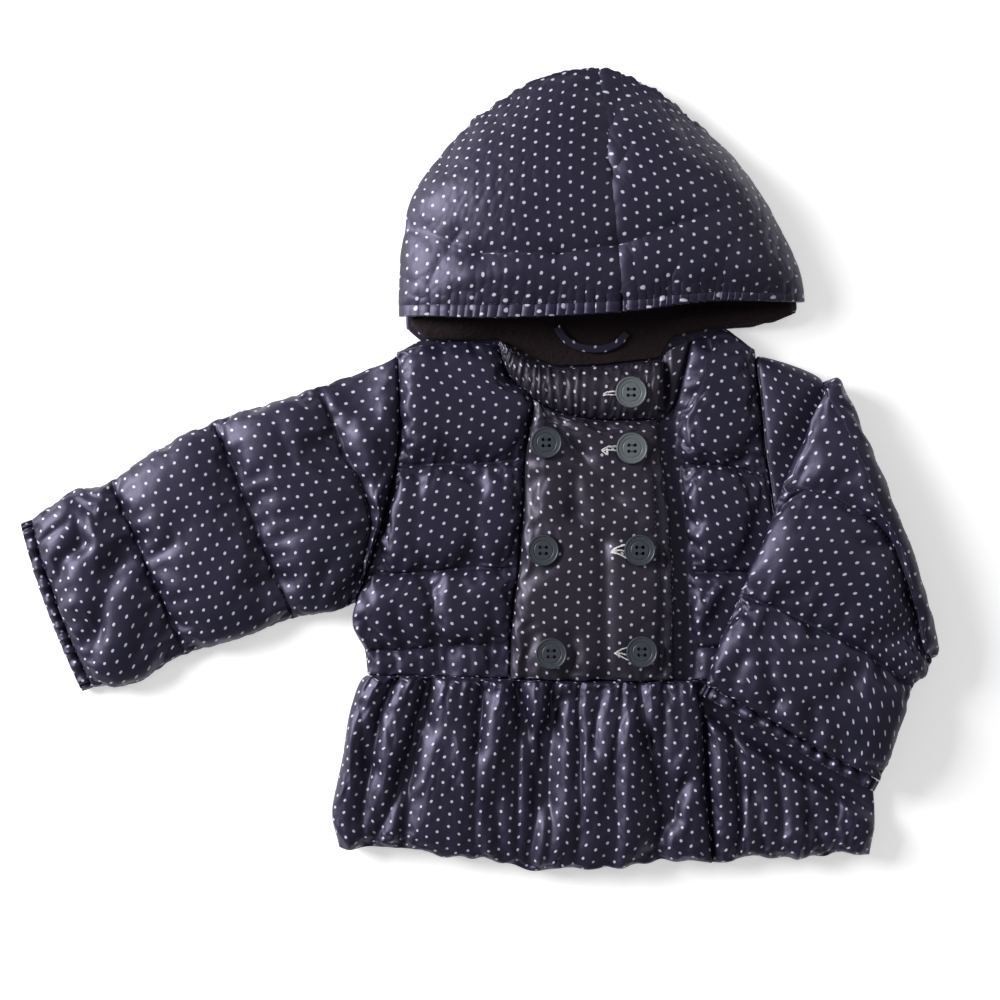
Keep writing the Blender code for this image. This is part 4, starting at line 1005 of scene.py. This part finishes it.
def to_inner_side(vert, i):
    vert.co -= vert.normal * HOOD_THICKNESS * MM
    vert.co.z = max(vert.co.z, (PRESSED + 0.2) * MM)


def hood_half(name, start, end, seam_shift, node):
    u = spread(84, start, end, 0.15)
    v = np.concatenate([spread(10, 1, CASING, 0.3), spread(64, CASING, 5, 0.4)[1:]])
    down = v[:, None]
    plan = net(HOOD_ROWS, u, v)
    plan[..., 0] += np.where(np.isclose(u, CENTRE), seam_shift, 0.0)
    x, y = plan[..., 0], plan[..., 1]
    rise = hood_dome(u, down)
    valley = 1.8 * bell(u, CENTRE, CENTRE_WIDTH)
    z = PRESSED + 3.0 + rise - np.minimum(creases(HOOD_FOLDS, x, y) + valley, 0.5 * rise)
    ungathered = np.dstack([x, y, PRESSED + 3.0 + rise])
    strength = (0.7 + 0.8 * bell(u, 0.58, 0.25)) * side(u, 10)
    z += strength * gathers(u, down - 1, 46, 1.3, 0.5)
    z -= 1.6 * bell(down, CASING, 0.06) * side(u, 10)
    lines = np.isclose(v, CASING)
    held = np.maximum(border(z.shape), v[:, None] < CASING + 0.001)
    grain = 8 if start else -8
    piece = cut_cloth(name, np.dstack([x, y, z]), held, grain, lines=lines, ungathered=ungathered)
    puff_up(piece, ceiling=39.0, spare=0.01, pressure=10, most=2)
    double(piece, to_inner_side)
    finish_cloth(piece, shell, node)


hood_half("hood_right_cloth", 0.0, CENTRE, -SEAM / 2, "hood_right")
hood_half("hood_left_cloth", CENTRE, 1.0, SEAM / 2, "hood_left")

u, v = spread(60, 0.03, 0.97), spread(30, 1.02, 4.8)
roof = PRESSED + 3.0 + hood_dome(u, v[:, None]) - HOOD_THICKNESS - 3.0
roof = np.maximum(roof, PRESSED + 1.2)
pad("hood_roof_fleece", net(HOOD_ROWS, u, v), roof, roof - 0.9, fleece, slot="fleece")

u, v = spread(90), spread(50, 0, 5)
plan = net(HOOD_ROWS, u, v)
to_neck = on_table(HOOD_NECK, plan[..., 0]) - plan[..., 1]
plan[..., 1] += (1 - smooth(2 * v))[:, None] * to_neck
swell = side(u, 16) * side(v[:, None] / 5, 14)
valley = 1.4 * bell(u, CENTRE, CENTRE_WIDTH)
under = np.maximum(1.6 * (1 - swell), valley)
pad("hood_under_cloth", plan, PRESSED - 0.6 * (1 - swell), under, shell)

# %% [markdown]
# **The lining.** Dark fleece shows at the hood's mouth: thick lips at both sides and a deep
# hollow between them. It continues into the hood, over its floor.

# %% Fleece lining
LIP = (
    *((-43, 93), (-34, 84.6), (-22, 83.4), (8, 83.6), (13, 84.6), (24, 78.6)),
    *((36, 71.6), (51, 66.8), (78, 67.6), (100, 70.2), (117, 72), (119.5, 79)),
    *((125, 85.5), (133, 88), (150, 91), (160, 92.3), (189, 94.5), (202, 100)),
)
BRIM = HOOD_ROWS[1]

u, v = spread(130, closeness=0.1), np.concatenate([spread(16), [1.3, 1.7, 2.2, 3.0]])
down = v[:, None]
x = -43.0 + 245.0 * u
low, high = on_table(LIP, x), on_table(BRIM, x) - 1.8
x = x + (-18.0 + 196.0 * u - x) * smooth((down - 1) / 2)
y = low + (high - low) * np.minimum(down, 1) + 27 * np.maximum(down - 1, 0)
lips = smooth((22 - x) / 36) + smooth((x - 112) / 30)
bulge = 6.5 * lips * np.maximum(1 - (down - 0.5) ** 2 * 2.4, 0) * side(u, 8)
fuzz = chance.normal(0, 0.25, x.shape)
top = FRONT_BASE + 3 + bulge + fuzz
pad("hood_lining_fleece", np.dstack([x, y]), top, FRONT_BASE, fleece, "hood_lining", slot="fleece")

# %% [markdown]
# **The right sleeve** is a flattened tube, stretched out to the side. Its section is a ring: its
# far half lies on the surface and its near half puffs up between three quilting lines.

# %% Right sleeve
SLEEVE_EDGE = 6.5
AROUND = 72  # points round a sleeve's section
RIGHT_SLEEVE_ROWS = (
    ((-52.5, 73.5), (-51, 20), (-62, -33), (-77, -83)),  # armhole
    ((-78, 63), (-68, 17), (-65.5, -33), (-79.5, -85)),
    ((-103, 53.8), (-87, 14), (-70, -31), (-82, -86.5)),  # quilting line B
    ((-138, 42.5), (-119, 2), (-102, -42), (-98, -91.5)),
    ((-170, 31.5), (-152, -10), (-136, -52), (-118.5, -95.5)),  # quilting line C
    ((-204, 15.5), (-186, -26), (-170, -67), (-151, -108)),
    ((-235.5, -6.4), (-219, -44), (-203, -81), (-187.5, -118.5)),  # quilting line D
    ((-262, -14), (-250, -56), (-238, -97), (-221, -137)),
    ((-286.6, -31.5), (-275.5, -69), (-262, -105), (-247, -139.5)),  # cuff seam
)
RIGHT_SLEEVE_CHANNELS = (
    (0, 2, 0.8 * SLEEVE_LOFT),
    (2, 4, SLEEVE_LOFT),
    (4, 6, SLEEVE_LOFT),
    (6, 8, SLEEVE_LOFT),
)
RIGHT_SLEEVE_FOLDS = (
    (-221, -50, -232, -63, 7, 4.5),
    (-232, -63, -242, -100, 7, 6.0),
    (-242, -100, -246, -118, 6, 5.0),
    (-259, -15, -253, -49, 6, 5.0),
    (-253, -49, -278, -77, 5, 5.0),
    (-262, -76, -277, -88, 4, 4.0),
    (-140, -72, -137, -92, 5, 4.0),
    (-205, -108, -200, -126, 5, 4.0),
    (-120, 8, -128, 30, 6, 3.0),
    (-96, -60, -104, -84, 5, 4.0),
)


def ring_across(t):
    """How far across the sleeve a point of its section lies, 0 to 1."""
    return 0.5 - 0.5 * np.cos(2 * pi * t)


def flat_side(t):
    """0 at the section's two edges and 1 over nearly all of a side that lies flat."""
    return np.minimum(1.0, 2.2 * abs(np.sin(2 * pi * t)))


def round_side(t):
    return abs(np.sin(2 * pi * t)) ** 0.8


def slot_across(t, share=0.88):
    """How far across the sleeve a point of its inner slot lies: the slot has that share of it."""
    return 0.5 + share * (ring_across(t) - 0.5)


def slot_height(t):
    """Height of that point over the slot's middle: the slot is 3 mm high."""
    return np.where(t <= 0.5, 1.5, -1.5) * flat_side(t)


def net_from(rows, u, v, first):
    """A net whose first row is laid along a seam."""
    plan = net(rows, u, v)
    near = np.where(v < 1, (1 - v) ** 2, 0)[:, None, None]
    return plan + near * (along(first, u) - net(rows, u, np.array([0.0]))[0])[None]


def edge_loops(edges):
    """Splits edges into connected loops."""
    left, loops = set(edges), []
    while left:
        loop, todo = [], [left.pop()]
        while todo:
            edge = todo.pop()
            loop.append(edge)
            for vert in edge.verts:
                linked = [e for e in vert.link_edges if e in left]
                left.difference_update(linked)
                todo += linked
        loops.append(loop)
    return loops


def line_tube(piece, inner):
    """Adds a tube's inside, a grid of places in mm, and joins both at the two open ends."""
    rows, columns = inner.shape[:2]
    bm = bmesh.new()
    bm.from_mesh(piece.data)
    outside = edge_loops([edge for edge in bm.edges if edge.is_boundary])
    before = set(bm.edges)
    first = len(bm.verts)
    bmesh.ops.create_grid(bm, x_segments=columns - 1, y_segments=rows - 1, size=0.5)
    made = bm.verts[first:]
    for vert, place in zip(made, inner.reshape(-1, 3) * MM):
        vert.co = place
    bmesh.ops.remove_doubles(bm, verts=made[::columns] + made[columns - 1 :: columns], dist=1e-6)
    inside = edge_loops([e for e in bm.edges if e.is_boundary and e not in before])
    for end in (inner[0], inner[-1]):
        middle = Vector(end.mean(axis=0) * MM)

        def distance(loop):
            return (sum((v.co for e in loop for v in e.verts), Vector()) / (2 * len(loop)) - middle).length

        bmesh.ops.bridge_loops(bm, edges=min(outside, key=distance) + min(inside, key=distance))
    bmesh.ops.recalc_face_normals(bm, faces=bm.faces[:])
    bm.to_mesh(piece.data)
    bm.free()


stations = np.linspace(0.12, 6.7, 60)
armhole = moved_left(right_side_plan(np.array([0.0]), stations)[:, 0], -SEAM - 0.1)
t = np.linspace(0, 1, AROUND + 1)
v = channel_stations(RIGHT_SLEEVE_ROWS, RIGHT_SLEEVE_CHANNELS, GRID)
plan = net_from(RIGHT_SLEEVE_ROWS, ring_across(t), v, armhole)
x, y = plan[..., 0], plan[..., 1]
rise = 3.5 + 0.85 * puff(RIGHT_SLEEVE_CHANNELS, v)[:, None] + np.zeros_like(x)
rise -= np.minimum(creases(RIGHT_SLEEVE_FOLDS, x, y), 0.7 * rise)
rise += puckers(RIGHT_SLEEVE_CHANNELS, t, v, 34, 1.0)
rise += gathers(t, 8 - v[:, None], 30, 1.6, 0.8)
over = SLEEVE_EDGE + (rise + 3.0) * round_side(t)
z = np.where(t > 0.5, SLEEVE_EDGE * (1 - flat_side(t)), over)
lines = on_line(RIGHT_SLEEVE_CHANNELS, v)
held = np.maximum(lines[:, None], (t > 0.52) & (t < 0.98))
piece = cut_cloth("sleeve_right_cloth", np.dstack([x, y, z]), held, round_about=True, lines=lines)
puff_up(piece, ceiling=24.0, **QUILTED_SLEEVE)
slot = net_from(RIGHT_SLEEVE_ROWS, slot_across(t), spread(20, 0, 8), armhole)
height = PRESSED + 1.5 + slot_height(t)
line_tube(piece, np.dstack([slot, np.broadcast_to(height, slot.shape[:2])]))
finish_cloth(piece, shell, "sleeve_right")

# %% [markdown]
# **The left sleeve** is folded over the front, so its tube turns round. Its under layer lies on the
# surface, and the side that touches the surface there comes out on top of the fold.

# %% Left sleeve
LEFT_SLEEVE_UNDER_ROWS = (
    ((178, 75.5), (184, 16), (197, -45), (232, -96)),  # armhole
    ((205, 68), (219, 8), (238, -52), (266, -108)),
    ((234, 61.5), (255, 1), (277, -58), (298.5, -117)),  # fold
)
LEFT_SLEEVE_OVER_ROWS = (
    LEFT_SLEEVE_UNDER_ROWS[-1],  # fold
    ((210, 24), (244, -8), (270, -52), (291, -121)),
    ((193.5, -10), (231, -22), (263, -50), (287.5, -124)),  # quilting line C
    ((181, -47), (216, -58), (251, -81), (284, -131)),
    ((166.5, -79), (203, -94), (240, -113), (277, -138)),  # quilting line D
    ((154, -108), (191, -128), (229, -149), (266, -173)),
    ((145, -136), (181, -156), (218, -178), (256, -198)),  # cuff seam
)
LEFT_SLEEVE_CHANNELS = ((0, 2, SLEEVE_LOFT), (2, 4, SLEEVE_LOFT), (4, 6, SLEEVE_LOFT))
LEFT_SLEEVE_FOLDS = (
    (203, -28, 245, -52, 7, 4.0),
    (186, -96, 200, -118, 6, 4.5),
    (232, -130, 244, -152, 6, 4.5),
    (168, -120, 160, -140, 5, 5.0),
    (183, -122, 189, -145, 4, 6.0),
    (189, -145, 181, -160, 4, 6.0),
    (212, -150, 207, -182, 4, 6.0),
    (226, -160, 232, -182, 5, 4.0),
)
FOLD_WAY = np.array([0.934, 0.358])  # plan direction out of the fold
UNDER_MIDDLE = SLEEVE_EDGE
OVER_MIDDLE = 21.3
FOLD_RADIUS = (OVER_MIDDLE - UNDER_MIDDLE) / 2
FOLD_WALL = 9.0  # from the tube's middle to its outside at the fold
INNER_SIDE = FOLD_RADIUS - 0.25  # from the tube's middle to the side that is folded inwards

stations = np.linspace(0.12, 7.1, 60)
left_armhole = moved_left(left_plan(np.array([1.0]), stations)[:, 0], SEAM + 0.1)


def sleeve_middle(w, s):
    """Middle of the folded tube and the way its outer side faces, at w across it and station s.
    s is -1 to 0 in the under layer, 0 to 1 round the fold, and 1 and more in the over layer."""
    level = np.ones(len(w))
    hinge = net(LEFT_SLEEVE_OVER_ROWS, w, np.array([0.0]))[0] - FOLD_WAY * (FOLD_WALL + FOLD_RADIUS)
    if s < 0:
        plan = net_from(LEFT_SLEEVE_UNDER_ROWS, w, np.array([2.0 * (s + 1)]), left_armhole)[0]
        plan = plan + (hinge - plan) * (s + 1) ** 2
        return np.column_stack([plan, UNDER_MIDDLE * level]), np.array([0.0, 0.0, -1.0])
    if s <= 1:
        turn = pi * (s - 0.5)
        plan = hinge + FOLD_WAY * FOLD_RADIUS * cos(turn)
        height = UNDER_MIDDLE + FOLD_RADIUS * (1 + sin(turn))
        return np.column_stack([plan, height * level]), np.array([*(FOLD_WAY * cos(turn)), sin(turn)])
    plan = net(LEFT_SLEEVE_OVER_ROWS, w, np.array([s - 1.0]))[0]
    plan = plan + (hinge - plan) * max(1 - (s - 1) / 2, 0.0) ** 2
    return np.column_stack([plan, OVER_MIDDLE * level]), np.array([0.0, 0.0, 1.0])


def sleeve_outside(t, s):
    """Places on the folded sleeve's outside, once round at station s."""
    point, way = sleeve_middle(ring_across(t), s)
    x, y = point[:, 0], point[:, 1]
    inward = -INNER_SIDE * flat_side(t)
    if s < 0:
        beyond = -0.88 * (x - 233) + 0.477 * (y - 62)
        inward -= 6.5 * smooth((beyond - 4) / 14) * smooth(3 * (s + 1) + 0.3) * round_side(t)
        outward = UNDER_MIDDLE * flat_side(t)
    elif s <= 1:
        outward = (UNDER_MIDDLE + (FOLD_WALL - UNDER_MIDDLE) * smooth(2 * s)) * round_side(t) ** 0.5
        outward += 2.0 * smooth(2 * s - 1) * round_side(t)
    else:
        v = min(s - 1, 6.0)
        rise = 5.0 + 0.85 * puff(LEFT_SLEEVE_CHANNELS, np.array([v]))[0] + np.zeros(len(t))
        rise = np.maximum(rise, 11.0 * (1 - v / 0.8))
        rise -= np.minimum(creases(LEFT_SLEEVE_FOLDS, x, y), 0.7 * rise)
        small = puckers(LEFT_SLEEVE_CHANNELS, t, np.array([v]), 34, 1.0)[0]
        rise += small + gathers(t, 6 - v, 30, 1.6, 0.8)
        outward = rise * round_side(t)
    return point + np.where(t > 0.5, inward, outward)[:, None] * way


def sleeve_inside(t, s):
    point, way = sleeve_middle(slot_across(t), s)
    return point + slot_height(t)[:, None] * way


over = channel_stations(LEFT_SLEEVE_OVER_ROWS, LEFT_SLEEVE_CHANNELS, GRID)
stations = np.concatenate([np.linspace(-1, -0.04, 16), np.linspace(0, 1, 12)[:-1], 1 + over])
lines = on_line(LEFT_SLEEVE_CHANNELS[1:], stations - 1)
held = np.maximum(lines[:, None], (t > 0.52) & (t < 0.98))
held = np.maximum(held, (stations < 0.6)[:, None])
places = np.stack([sleeve_outside(t, s) for s in stations])
piece = cut_cloth("sleeve_left_cloth", places, held, round_about=True, lines=lines)
puff_up(piece, ceiling=36.5, **QUILTED_SLEEVE)
stations = np.concatenate([np.linspace(-1, -0.1, 6), np.linspace(0, 1, 7)[:-1], 1 + spread(14, 0, 6)])
line_tube(piece, np.stack([sleeve_inside(t, s) for s in stations]))
finish_cloth(piece, shell, "sleeve_left")

# %% [markdown]
# **The cuffs** are narrow casings with an elastic inside, so they are all small gathers.

# %% Cuffs
CUFF_WIDTH = 8.0
CUFF_GATHERS = 31


def cuff(node, seam_row, away, floor, top_height):
    """A gathered tube along a sleeve's last row, which runs away from it. Heights are in mm."""
    t, v = np.linspace(0, 1, 6 * CUFF_GATHERS + 1), spread(8)

    def at(u):
        seam = curve(seam_row, u * (len(seam_row) - 1))
        return seam[None] + np.array(away) * (SEAM + (CUFF_WIDTH - SEAM) * v[:, None, None])

    edge = floor + 5.0
    bulge = (top_height - 6.5) * round_side(t) * (0.6 + 0.4 * np.sin(pi * v[:, None]))
    uneven = 1.5 + 0.7 * np.sin(41 * t + 1)
    gather = uneven * np.cos(2 * pi * (CUFF_GATHERS * t + 0.5 * np.sin(23 * t))) * flat_side(t)
    z = np.where(t > 0.5, edge - (edge - floor) * flat_side(t), edge + bulge + gather)
    piece = cut_cloth(f"{node}_cloth", np.dstack([at(ring_across(t)), z]), 1.0, round_about=True)
    inside = at(slot_across(t, 0.9))
    height = floor + 6.3 + slot_height(t)
    line_tube(piece, np.dstack([inside, np.broadcast_to(height, inside.shape[:2])]))
    finish_cloth(piece, shell, node)


cuff("cuff_right", RIGHT_SLEEVE_ROWS[-1], (-0.94, -0.34), 0.0, 13.5)
cuff("cuff_left", LEFT_SLEEVE_OVER_ROWS[-1], (-0.47, -0.88), OVER_MIDDLE - INNER_SIDE, 12.5)

# %% [markdown]
# **The buttons** are moulded from dark slate plastic: a low rim, one shallow ring and four holes.
# The top two of the right column are paler. Each is a stack of circles, joined into a turned form.
# The fill between the inner circle and the holes leaves the holes open. Moulded plastic is satin: it
# takes a soft highlight on its rim.


# %% Buttons
def mottled_material(name, dark, light, roughness, specular, grain, depth):
    """Two close colours mixed by a noise at the size of the grain, which also roughens the surface."""
    material, tree, shader = new_material(name, {"Specular IOR Level": specular})
    here = add(tree, "ShaderNodeTexCoord").outputs["Object"]
    noise = add(tree, "ShaderNodeTexNoise", Vector=here, Scale=1 / grain, Detail=4.0, Roughness=0.6)
    share = noise.outputs["Fac"]
    colours = {"i6": linear(dark), "i7": linear(light)}
    mixed = add(tree, "ShaderNodeMix", {"data_type": "RGBA"}, Factor=share, **colours)
    tree.links.new(mixed.outputs[2], shader.inputs["Base Color"])
    low, high = roughness
    dull = add(tree, "ShaderNodeMapRange", Value=share, To_Min=low, To_Max=high)
    tree.links.new(dull.outputs["Result"], shader.inputs["Roughness"])
    bump = add(tree, "ShaderNodeBump", Strength=0.4, Distance=depth, Height=share)
    tree.links.new(bump.outputs["Normal"], shader.inputs["Normal"])
    return material


# Roughness, specular level, grain and depth. Slate plastic has faint clouds of the moulding and
# fine scuffs. Threads are twisted fibres and quite matte.
SCUFFED = ((0.36, 0.5), 0.5, 1.2 * MM, 0.03 * MM)
TWIST = (0.3 * MM, 0.05 * MM)
slate = mottled_material("satin_slate_plastic", "#2c3138", "#3d434b", *SCUFFED)
pale_slate = mottled_material("pale_slate_plastic", "#50565a", "#676d70", *SCUFFED)
dark_thread = mottled_material("dark_sewing_thread", "#22202c", "#3a3747", (0.6, 0.8), 0.3, *TWIST)
white_thread = mottled_material("white_cotton_thread", "#c4c0c2", "#ececec", (0.8, 1.0), 0.2, *TWIST)

BUTTON_PROFILE = (  # radius and height of each circle, from the face round the rim to the underside
    *((5.6, 2.5), (5.9, 2.25), (6.3, 2.25), (6.6, 2.5), (8.7, 2.6)),
    *((9.2, 3.05), (9.7, 2.9), (10.0, 2.1), (9.7, 0.8), (8.8, 0.1), (5.6, 0.0)),
)
HOLE_RADIUS, HOLE_OFFSET = 1.1, 1.95
PALE_BUTTONS = (1, 2)


def circle(bm, radius, x, y, height, segments):
    """The edges of a level circle; all sizes in mm."""
    first = len(bm.edges)
    place = Matrix.Translation(Vector((x, y, height)) * MM)
    bmesh.ops.create_circle(bm, segments=segments, radius=radius * MM, matrix=place)
    return bm.edges[first:]


def finish_small(bm, name, finish, slot, *nodes):
    """A mesh object from small hard things."""
    bmesh.ops.recalc_face_normals(bm, faces=bm.faces[:])
    mesh = bpy.data.meshes.new(name)
    bm.to_mesh(mesh)
    bm.free()
    mesh.materials.append(finish)
    mesh.shade_smooth()
    mesh.set_sharp_from_angle(angle=radians(35))
    piece = bpy.data.objects.new(name, mesh)
    bpy.context.scene.collection.objects.link(piece)
    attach(piece, "root")
    if nodes:
        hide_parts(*nodes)
    print(f"{name}: {len(mesh.polygons)} faces")


button_middles = {}
for number in range(1, 8):
    low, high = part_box(f"button_{number}")
    x, y = (low.x + high.x) / 2 / MM, (low.y + high.y) / 2 / MM
    seat = low.z / MM
    button_middles[number] = (x, y, seat)
    bm = bmesh.new()
    rings = [circle(bm, radius, x, y, seat + height, 64) for radius, height in BUTTON_PROFILE]
    for upper, lower in zip(rings, rings[1:]):
        bmesh.ops.bridge_loops(bm, edges=upper + lower)
    face, underside = rings[0][:], rings[-1][:]
    for dx, dy in ((-1, -1), (1, -1), (1, 1), (-1, 1)):
        hole = (x + dx * HOLE_OFFSET, y + dy * HOLE_OFFSET)
        upper = circle(bm, HOLE_RADIUS, *hole, seat + BUTTON_PROFILE[0][1], 20)
        lower = circle(bm, HOLE_RADIUS, *hole, seat, 20)
        bmesh.ops.bridge_loops(bm, edges=upper + lower)
        face += upper
        underside += lower
    bmesh.ops.triangle_fill(bm, edges=face, use_beauty=True, normal=(0, 0, 1))
    bmesh.ops.triangle_fill(bm, edges=underside, use_beauty=True, normal=(0, 0, -1))
    finish = pale_slate if number in PALE_BUTTONS else slate
    finish_small(bm, f"button_{number}_moulded", finish, "button", f"button_{number}")

# %% [markdown]
# **Threads.** Dark topstitching runs beside the lap's edge and along the collar, the quilting and the
# casings. Each stitch is a short thread laid on the cloth: a ray dropped on the finished piece
# finds its height. The buttonholes of the right column are frayed, and their white threads reach
# out from under the buttons. All of the dark stitches are one joined mesh, the white threads another.


# %% Threads and stitching
def strand(bm, points, radius, sides=6):
    """A thread through points in mm, thin at both ends."""
    points = np.asarray(points, float)
    way = np.gradient(points, axis=0)
    way /= np.linalg.norm(way, axis=1, keepdims=True)
    aside = np.cross(way, (0.0, 0.0, 1.0))
    aside /= np.linalg.norm(aside, axis=1, keepdims=True)
    upward = np.cross(aside, way)
    turn = np.linspace(0, 2 * pi, sides + 1)[None, :, None]
    thick = np.full((len(points), 1, 1), radius)
    thick[[0, -1]] *= 0.2
    places = points[:, None] + thick * (aside[:, None] * np.cos(turn) + upward[:, None] * np.sin(turn))
    first = len(bm.verts)
    bmesh.ops.create_grid(bm, x_segments=sides, y_segments=len(points) - 1, size=0.5)
    for vert, place in zip(bm.verts[first:], places.reshape(-1, 3) * MM):
        vert.co = place


def cloth_top(name):
    """A function that reads the height in mm of a finished piece's top at plan points."""
    tree = BVHTree.FromObject(bpy.data.objects[name], bpy.context.evaluated_depsgraph_get())

    def top(x, y):
        hit = tree.ray_cast(Vector((x * MM, y * MM, 0.2)), Vector((0, 0, -1)))[0]
        return hit.z / MM if hit else None

    return top


def stitch(bm, name, path, spacing=3.4, length=2.3, radius=0.26):
    """Short stitches along a plan path, laid on the top of the named piece."""
    top = cloth_top(name)
    path = np.asarray(path, float)
    total = np.linalg.norm(np.diff(path, axis=0), axis=1).sum()
    for start in np.arange(1.0, total - length, spacing):
        places = along(path, (start + length * np.array([0.0, 0.33, 0.67, 1.0])) / total)
        heights = [top(*place) for place in places]
        if None in heights:
            continue
        lift = np.array([-0.1, 0.15, 0.15, -0.1])
        strand(bm, np.column_stack([places, np.array(heights) + lift]), radius)


def smooth_path(points):
    return curve(points, np.linspace(0, len(points) - 1, 60))


LAP_INNER = ((109.4, 9.6), (113.3, -37.8), (116.5, -96.0), (117.1, -132.0))
LAP_OUTER = ((115.5, 20.0), (120.0, -22.0), (122.4, -60.0), (123.4, -98.0), (123.8, -132.0))
full = np.linspace(0.02, 0.98, 60)

bm = bmesh.new()
for path in (LAP_INNER, LAP_OUTER):
    stitch(bm, "front_right_panel_cloth", smooth_path(path))
stitch(bm, "collar_right_cloth", moved_left(smooth_path(COLLAR_TOP), -2.2))
for row in (4, 6, 8):
    stitch(bm, "front_right_side_cloth", right_side_plan(full, np.array([float(row)]))[0])
    seen = np.linspace(0.3, 0.95, 60)
    stitch(bm, "front_left_cloth", left_plan(seen, np.array([float(row)]))[0])
for row in (2, 4, 6):
    stitch(bm, "sleeve_right_cloth", net(RIGHT_SLEEVE_ROWS, full, np.array([float(row)]))[0])
for row in (2, 4):
    stitch(bm, "sleeve_left_cloth", net(LEFT_SLEEVE_OVER_ROWS, full, np.array([float(row)]))[0])
for name, start, end in (("hood_right_cloth", 0.02, 0.495), ("hood_left_cloth", 0.505, 0.98)):
    stitch(bm, name, net(HOOD_ROWS, np.linspace(start, end, 60), np.array([CASING]))[0])
for x, y, seat in button_middles.values():
    for off in (-HOLE_OFFSET, HOLE_OFFSET):
        ends = [(x - 2.0, y + off, seat + 1.2), (x - 1.0, y + off, seat + 2.7), (x, y + off, seat + 2.9)]
        ends += [(x + 1.0, y + off, seat + 2.7), (x + 2.0, y + off, seat + 1.2)]
        strand(bm, ends, 0.3)
bmesh.ops.remove_doubles(bm, verts=bm.verts[:], dist=1e-7)
finish_small(bm, "topstitching", dark_thread, "shell")

FRAYED = (  # the loose threads' plan points
    ((79.4, 47.4), (83.0, 47.9), (89.0, 47.7)),
    ((79.8, 48.4), (83.5, 49.8), (89.0, 50.2)),
    ((78.7, 12.4), (83.0, 14.6), (89.5, 15.2)),
    ((79.0, 12.2), (83.5, 12.6), (89.5, 11.9)),
    ((78.9, 12.3), (82.2, 9.8), (82.0, 13.8)),
    ((84.5, -52.3), (89.0, -49.2), (95.0, -47.6)),
    ((84.5, -52.5), (89.0, -53.2), (95.2, -56.2)),
    ((85.5, -52.4), (89.5, -51.2), (94.5, -51.8)),
    ((86.7, -116.5), (91.0, -114.2), (96.0, -112.6)),
    ((86.7, -116.6), (91.0, -118.6), (96.2, -121.4)),
    ((87.5, -116.5), (91.5, -116.9), (95.0, -118.0)),
)
COLLAR_SEAM = 40  # y in mm: a thread above it lies on the collar, one below it on the panel

bm = bmesh.new()
for path in FRAYED:
    top = cloth_top("collar_right_cloth" if path[0][1] > COLLAR_SEAM else "front_right_panel_cloth")
    plan = curve(path, np.linspace(0, 2, 12))
    for number in range(4):
        bend = plan + chance.normal(0, 0.22, (1, 2)) + chance.normal(0, 0.13, plan.shape)
        heights = np.array([top(*place) or 18.0 for place in bend]) + 0.3 + 0.12 * number
        strand(bm, np.column_stack([bend, heights]), 0.3 if number < 2 else 0.15)
bmesh.ops.remove_doubles(bm, verts=bm.verts[:], dist=1e-7)
finish_small(bm, "frayed_threads", white_thread, "shell")

# %% [markdown]
# **The stage** is white paper with one large soft window from the upper left, as in the photo. A
# weak fill from the other side and a grey world keep the folds' shaded sides readable. The paper
# glows a little, because the photo's ground is pure white.

# %% Floor, light and world
LIGHT_POWER = 84.0
FILL_SHARE = 0.05
WORLD_STRENGTH = 0.23
WHITE = (1.0, 1.0, 1.0, 1.0)
PAPER = {
    "Base Color": linear("#f8f8f8"),
    "Roughness": 0.9,
    "Emission Color": WHITE,
    "Emission Strength": 0.45,
}

bm = bmesh.new()
bmesh.ops.create_grid(bm, x_segments=1, y_segments=1, size=6.0)
bmesh.ops.translate(bm, vec=(0, 0, -0.3 * MM), verts=bm.verts)
floor_mesh = bpy.data.meshes.new("floor")
bm.to_mesh(floor_mesh)
bm.free()
floor = bpy.data.objects.new("floor", floor_mesh)
bpy.context.scene.collection.objects.link(floor)
floor.data.materials.append(new_material("white_paper", PAPER)[0])


def soft_light(name, place, size, power):
    light = bpy.data.lights.new(name, "AREA")
    light.size = size
    light.energy = power
    lamp = bpy.data.objects.new(name, light)
    lamp.location = place
    aim = Vector((0, 0, 0)) - lamp.location
    lamp.rotation_euler = aim.to_track_quat("-Z", "Y").to_euler()
    bpy.context.scene.collection.objects.link(lamp)


soft_light("window", (-1.85, 0.7, 1.0), 1.1, LIGHT_POWER)
soft_light("fill", (1.2, 0.9, 1.6), 1.4, FILL_SHARE * LIGHT_POWER)
world = bpy.data.worlds.new("studio")
world.use_nodes = True
background = world.node_tree.nodes["Background"]
background.inputs["Color"].default_value = WHITE
background.inputs["Strength"].default_value = WORLD_STRENGTH
bpy.context.scene.world = world
bpy.context.scene.view_settings.view_transform = "Standard"
